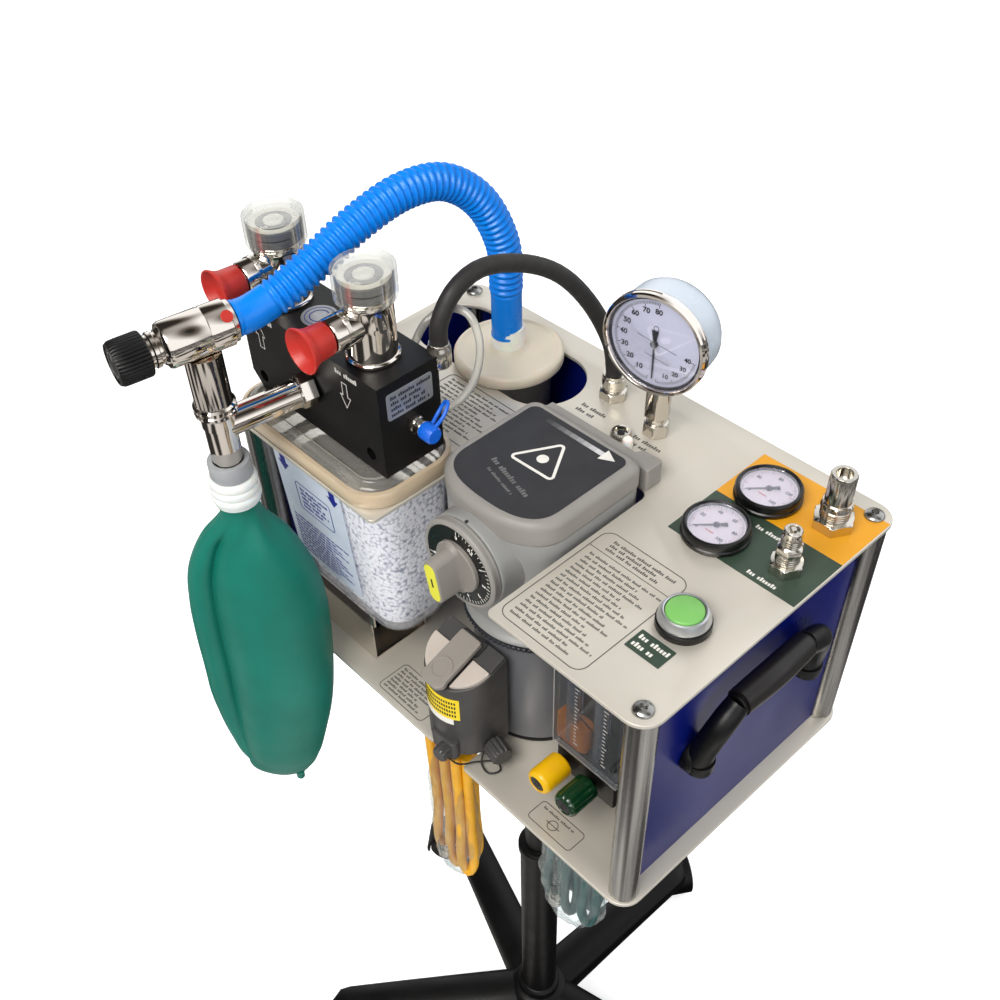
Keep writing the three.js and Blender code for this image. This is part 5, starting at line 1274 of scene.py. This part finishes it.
def inlets():
    for gas, g in (("air", 1.25), ("oxygen", 1.0)):
        x, y, z, top, _ = upright(f"{gas}_inlet")
        foot = [*shaped(hexagon, (14 * g, z), (14.2 * g, z + 1), (14.2 * g, z + 9)), (12.6 * g, z + 10),
                (9 * g, z + 10.6)]
        thread = lambda r, start: [(r + 0.5 * (k % 2), start + 1.1 * k) for k in range(8)]
        if gas == "air":
            rest = [(9 * g, z + 20), (10.4 * g, z + 21), (10.6 * g, z + 25, hexagon), (9.6 * g, z + 26),
                    (8.6 * g, z + 27), (8.6 * g, top - 2), (7.8 * g, top), (5.4 * g, top), (5 * g, top - 9)]
        else:
            rest = [*shaped(hexagon, (11, z + 20), (11.2, z + 21), (11, z + 26)), (8.6, z + 27),
                    *thread(7.6, z + 28), (7.2, top - 4), (7.4, top - 2), (6.4, top - 0.6), (4.6, top - 0.6),
                    (4.4, top - 3), (2.4, top - 3), (2.2, top)]
        made = lathe([*foot, *thread(9.4 * g, z + 11), *rest], 96, (x, y, 0))
        piece(f"{gas}_inlet_skin", made, "nickel_plate", cad=f"{gas}_inlet", bevel=0.3)


def flush_button():
    x, y, low, top, _ = upright("flush_button")
    z = DECK_Z
    cap = [(14.2, low), (15, low + 1), (15, top - 2.5), (14.6, top - 1.2), (13.4, top - 0.4), (0, top)]
    bezel = [(15.6, z + 8), (20.2, z + 8), (20.6, z + 8.8), (20.4, z + 10.4), (17.8, z + 16.2), (16.6, z + 16.8),
             (15.6, z + 16.4)]
    base = [(15.8, z + 0.1), (21, z + 0.1), (21.6, z + 1), (21.6, z + 7), (20.4, z + 7.8), (15.8, z + 7.8)]
    piece("flush_cap", lathe(cap, 96, (x, y, 0)), "green_cap", body="flush_button", cad="flush_button", smooth=40)
    piece("flush_ring", lathe(bezel, 128, (x, y, 0), closed=True), "machined_ring")
    piece("flush_base", lathe(base, 96, (x, y, 0), closed=True), "black_moulding")


def flowmeter():
    low, top = (corner[2] for corner in bench("flowmeter_block"))
    (air_x, y, _), (oxygen_x, _, _) = middle("air_float"), middle("oxygen_float")
    left, right, front, guard_z = air_x - 12, oxygen_x + 30, y - 12, 982
    amber = [(left - 3, y - 6, 1), (air_x + 20, y - 6, 8), (air_x + 20, y + 9, 8), (left - 3, y + 9, 1)]
    edges = merged(slab(left - 0.5, front - 0.4, left + 0.5, front + 4.4, guard_z - 0.4, top),
                   slab(left - 0.5, front - 0.4, right, front + 4.4, guard_z - 1.2, guard_z - 0.2))
    for name, made, look, bevel, cad in (
        ("guard", slab(left, front, right, front + 4, guard_z, top, 0.6, 2), "acrylic", 0.5, "flowmeter_block"),
        ("guard_edges", edges, "guard_edge", 0, None),
        ("right_cheek", slab(right - 4, front + 4.4, right, y + 10, guard_z, top, 0.6, 2), "acrylic", 0.5, None),
        ("back_plate", slab(left, y + 10.4, right, y + 14, 960, top, 0.8, 2), "black_anodised", 0.5, None),
        ("manifold", slab(left + 2, y - 9, right - 4, y + 10, low, 980, 2, 3), "black_anodised", 0.8, None),
        ("amber_block", prism(rounded(amber, 5), 980.4, 1012), "amber_block", 0.8, None),
        ("dark_block", slab(oxygen_x - 9, y - 6, right - 5, y + 9, 980.4, 992, 2, 3), "black_anodised", 0.8, None),
    ):
        piece("flow_" + name, made, look, bevel=bevel, cad=cad)
    head = [(3.4, 0), (3.4, 3), *shaped(hexagon, (1.8, 3), (1.7, 1.4))]
    piece("flow_screw", lathe(head, 36, (right - 9, front + 6.5, 996), FORWARD), "screw_steel")
    for gas, x, look, grooves in (("air", air_x, "knob_yellow", ()),
                                  ("oxygen", oxygen_x, "knob_green", (ribs(10, 0.07),))):
        tube = [(4.4, 985.2), (6.6, 985.2), (6.6, top), (4.4, top)]
        piece(f"{gas}_flow_tube", lathe(tube, 48, (x, y, 0), closed=True), "tube_glass")
        strip = slab(x - 3, y + 8, x + 3, y + 8.6, 1014, top - 8)
        piece(f"{gas}_flow_strip", strip, "pale_label", "manometer_white")
        marks = [placed(stroke((-2.4, 0), (0.4 if k % 5 else 2.4, 0), 0.5, 0, 0.15),
                        (x + 14, front - 0.05, 1000 + 5 * k), FORWARD, RIGHT) for k in range(30)]
        piece(f"{gas}_flow_ticks", merged(*marks), "label_white")
        node = f"{gas}_float"
        r = (bench(node)[1][2] - bench(node)[0][2]) / 2
        ball = [(r * math.sin(a), -r * math.cos(a)) for a in np.linspace(0, math.pi, 20)]
        piece(f"{gas}_ball", lathe(ball, 40, middle(node)), "polished_plate", "float", node, node, smooth=80)
        node = f"{gas}_flow_knob"
        (low_x, _, low_z), (high_x, back_y, high_z) = bench(node)
        r, long = (high_x - low_x) / 2, back_y - bench(node)[0][1]
        at = ((low_x + high_x) / 2, back_y, (low_z + high_z) / 2)
        grip = [(r - 1.6, 7.6), (r - 0.2, 9), (r, 12), (r, long - 5), (r - 1, long - 2)]
        knob = [(3.9, 0), (3.9, 7.4), *[(*row, *grooves) for row in grip], (r - 3, long - 0.3), (r - 4.4, long),
                (r - 5, long - 1.4)]
        piece(f"{gas}_knob", lathe(knob, 160, at, FORWARD), look, body=node, cad=node, smooth=40)
        plug = merged(lathe([(r - 5.2, long - 1.4), (r - 5.4, long - 0.6), (0, long - 0.5)], 48),
                      annulus(2.6, 3.4, 0, 0.25, 32, (0, 0, long - 0.5)))
        piece(f"{gas}_knob_plug", placed(plug, at, FORWARD), "dial_black", body=node)


def supply_hoses():
    rng = np.random.default_rng(7)
    for gas, look in (("air", "supply_yellow"), ("oxygen", "supply_green")):
        low, high = bench(f"{gas}_supply_hose")
        (cx, cy, mid), (half_w, half_d, _) = (low + high) / 2, (high - low) / 2
        bottom, top = low[2], high[2]
        coils = []
        count = 5
        for k in range(count):
            x = cx + half_w * 0.62 * (k / (count - 1) * 2 - 1)
            y = cy + half_d * 0.4 * (1 if k % 2 else -1)
            turn_z = bottom + 22 + 14 * rng.random()
            lean = 5 * (rng.random() - 0.5)
            half = 7 + 2 * rng.random()
            coils.append(hose([(x, y, top - 1), (x + lean, y, mid), (x - 2, y, turn_z + 12),
                               (x + half / 2, y + 2, turn_z), (x + half, y + 6, turn_z + 12),
                               (x + half + lean, y + 7, mid), (x + half, y + 7, top - 1)], 5.4, 4.0, 20))
        piece(f"{gas}_supply_coil", merged(*coils), look, cad=f"{gas}_supply_hose", smooth=60)
        ferrule = [(7, 0), (7.4, 1), (7.4, 3), (6.6, 4), (7.4, 5), (7.4, 8), (6.6, 9), (7.4, 10), (7.4, 22), (6, 24)]
        at = (cx - half_w * 0.25, cy - half_d * 0.62, bottom + 36)
        piece(f"{gas}_supply_ferrule", lathe(ferrule, 48, at), "nickel_plate")
        shares, swells = np.array((0, 0.04, 0.12, 0.45, 0.8, 1.0)), np.array((0.25, 0.6, 0.88, 1.0, 0.88, 0.55))

        def crumpled(up):
            loop = []
            swell = 0.97 * smooth_between(up, shares, swells)
            for t in (2 * math.pi * i / 60 for i in range(60)):
                crumple = 1 + 0.05 * math.sin(7 * t + 9 * up) + 0.04 * math.sin(13 * t - 23 * up)
                crumple += 0.03 * math.sin(31 * up + 5 * t)
                reach = swell * crumple
                loop.append((cx + half_w * reach * math.cos(t), cy + half_d * reach * math.sin(t)))
            return loop

        film = layered(crumpled, [(up, bottom + (top - bottom) * up) for up in np.linspace(0, 1, 40)])
        piece(f"{gas}_supply_film", film, "bag_film", smooth=25)


# ---- Floor, light and camera ----


def studio():
    """A pale floor, a bright room to see by, and a darker, uneven one for polished metal to mirror."""
    span, drop = 30.0, -0.0005
    mesh = bpy.data.meshes.new("floor")
    corners = ((-1, -1), (1, -1), (1, 1), (-1, 1))
    mesh.from_pydata([(x * span, y * span, drop) for x, y in corners], [], [(0, 1, 2, 3)])
    floor = linked("floor", mesh)
    t = Tree(bpy.data.materials.new("pale_floor"))
    tone = t.blend(t.spread(t.noise(0.5), 0.0, 1.0), (0.90, 0.90, 0.895, 1), (0.88, 0.88, 0.875, 1))
    matte = t.add("BsdfDiffuse", Color=tone)
    bright = t.add("AddShader", _0=matte, _1=t.add("Emission", Color=(1, 1, 1, 1), Strength=0.55))
    bands = t.spread(t.noise(1.3, detail=0.0), 0.0, 1.0, 0.44, 0.56)
    dim = t.add("BsdfDiffuse", Color=t.blend(bands, (0.030, 0.028, 0.027, 1), (0.62, 0.60, 0.58, 1)))
    path = t.add("LightPath").node.outputs
    seen = t.mix(path["Is Camera Ray"], matte, t.mix(path["Is Glossy Ray"], bright, dim))
    floor.data.materials.append(t.finish(t.mix(path["Is Glossy Ray"], seen, dim)))

    world = bpy.context.scene.world = bpy.data.worlds.new("studio")
    t = Tree(world, "World")
    squeezed = t.add("Mapping", Vector=t.add("TexCoord", give="Generated"), Scale=(1.0, 1.0, 0.4))
    room = t.add("TexNoise", Vector=squeezed, Scale=1.3, Detail=0.0)
    ramp = t.add("ValToRGB", _0=room)
    steps = ramp.node.color_ramp.elements
    stops = ((0.40, (0.035, 0.030, 0.026, 1)), (0.62, (1.25, 1.27, 1.30, 1)), (0.47, (0.22, 0.20, 0.18, 1)),
             (0.53, (0.62, 0.62, 0.62, 1)))
    for step, (position, colour) in zip(list(steps), stops):
        step.position, step.color = position, colour
    for position, colour in stops[2:]:
        steps.new(position).color = colour
    path = t.add("LightPath").node.outputs
    lit = t.mix(path["Is Glossy Ray"], t.add("Background", Color=(0.97, 0.98, 1.0, 1), Strength=0.56),
                t.add("Background", Color=ramp))
    t.finish(t.mix(path["Is Camera Ray"], lit, t.add("Background", Color=(1, 1, 1, 1))))
    target = Vector((0, 0, 1.1))
    for name, at, size, power, tint in (
        ("key", (0.4, -1.7, 3.0), (1.6, 1.2), 60, (1.0, 0.97, 0.93)),
        ("fill", (2.4, -0.4, 2.0), (1.4, 1.8), 16, (0.93, 0.96, 1.0)),
        ("back", (-1.4, 2.0, 2.6), (1.8, 1.2), 26, (1.0, 1.0, 1.0)),
        ("left", (-2.2, -1.0, 1.6), (1.0, 1.8), 14, (1.0, 0.96, 0.92)),
    ):
        lamp = bpy.data.lights.new(name, "AREA")
        settle(lamp, shape="RECTANGLE", size=size[0], size_y=size[1], energy=power, color=tint)
        way = (target - Vector(at)).to_track_quat("-Z", "Y").to_euler()
        settle(linked(name, lamp), location=at, rotation_euler=way, visible_glossy=name == "key")
    bpy.context.scene.view_settings.view_transform = "Standard"


def camera():
    """Above the front right corner, looking down at the deck."""
    data = bpy.data.cameras.new("camera")
    settle(data, sensor_width=36, lens=41.18, shift_x=0.0524, shift_y=0.0574, clip_start=0.05)
    view = linked("camera", data)
    right, up = Vector((0.66567, 0.74430, -0.05383)), Vector((-0.50799, 0.50480, 0.69794))
    back = Vector((0.54665, -0.43726, 0.71413))
    at = np.array((533.0, -540.6, 1819.8)) * MM + POLE
    view.matrix_world = Matrix.Translation(Vector(at)) @ Matrix((right, up, back)).transposed().to_4x4()
    bpy.context.scene.camera = view


make_looks()
for build in (chassis, carry_handle, deck_prints, stand, vaporizer, absorber, valve_block, valves, bag_arm,
              breathing_bag, hoses, manometer, panel_gauges, inlets, flush_button, flowmeter, supply_hoses, studio,
              camera):
    build()
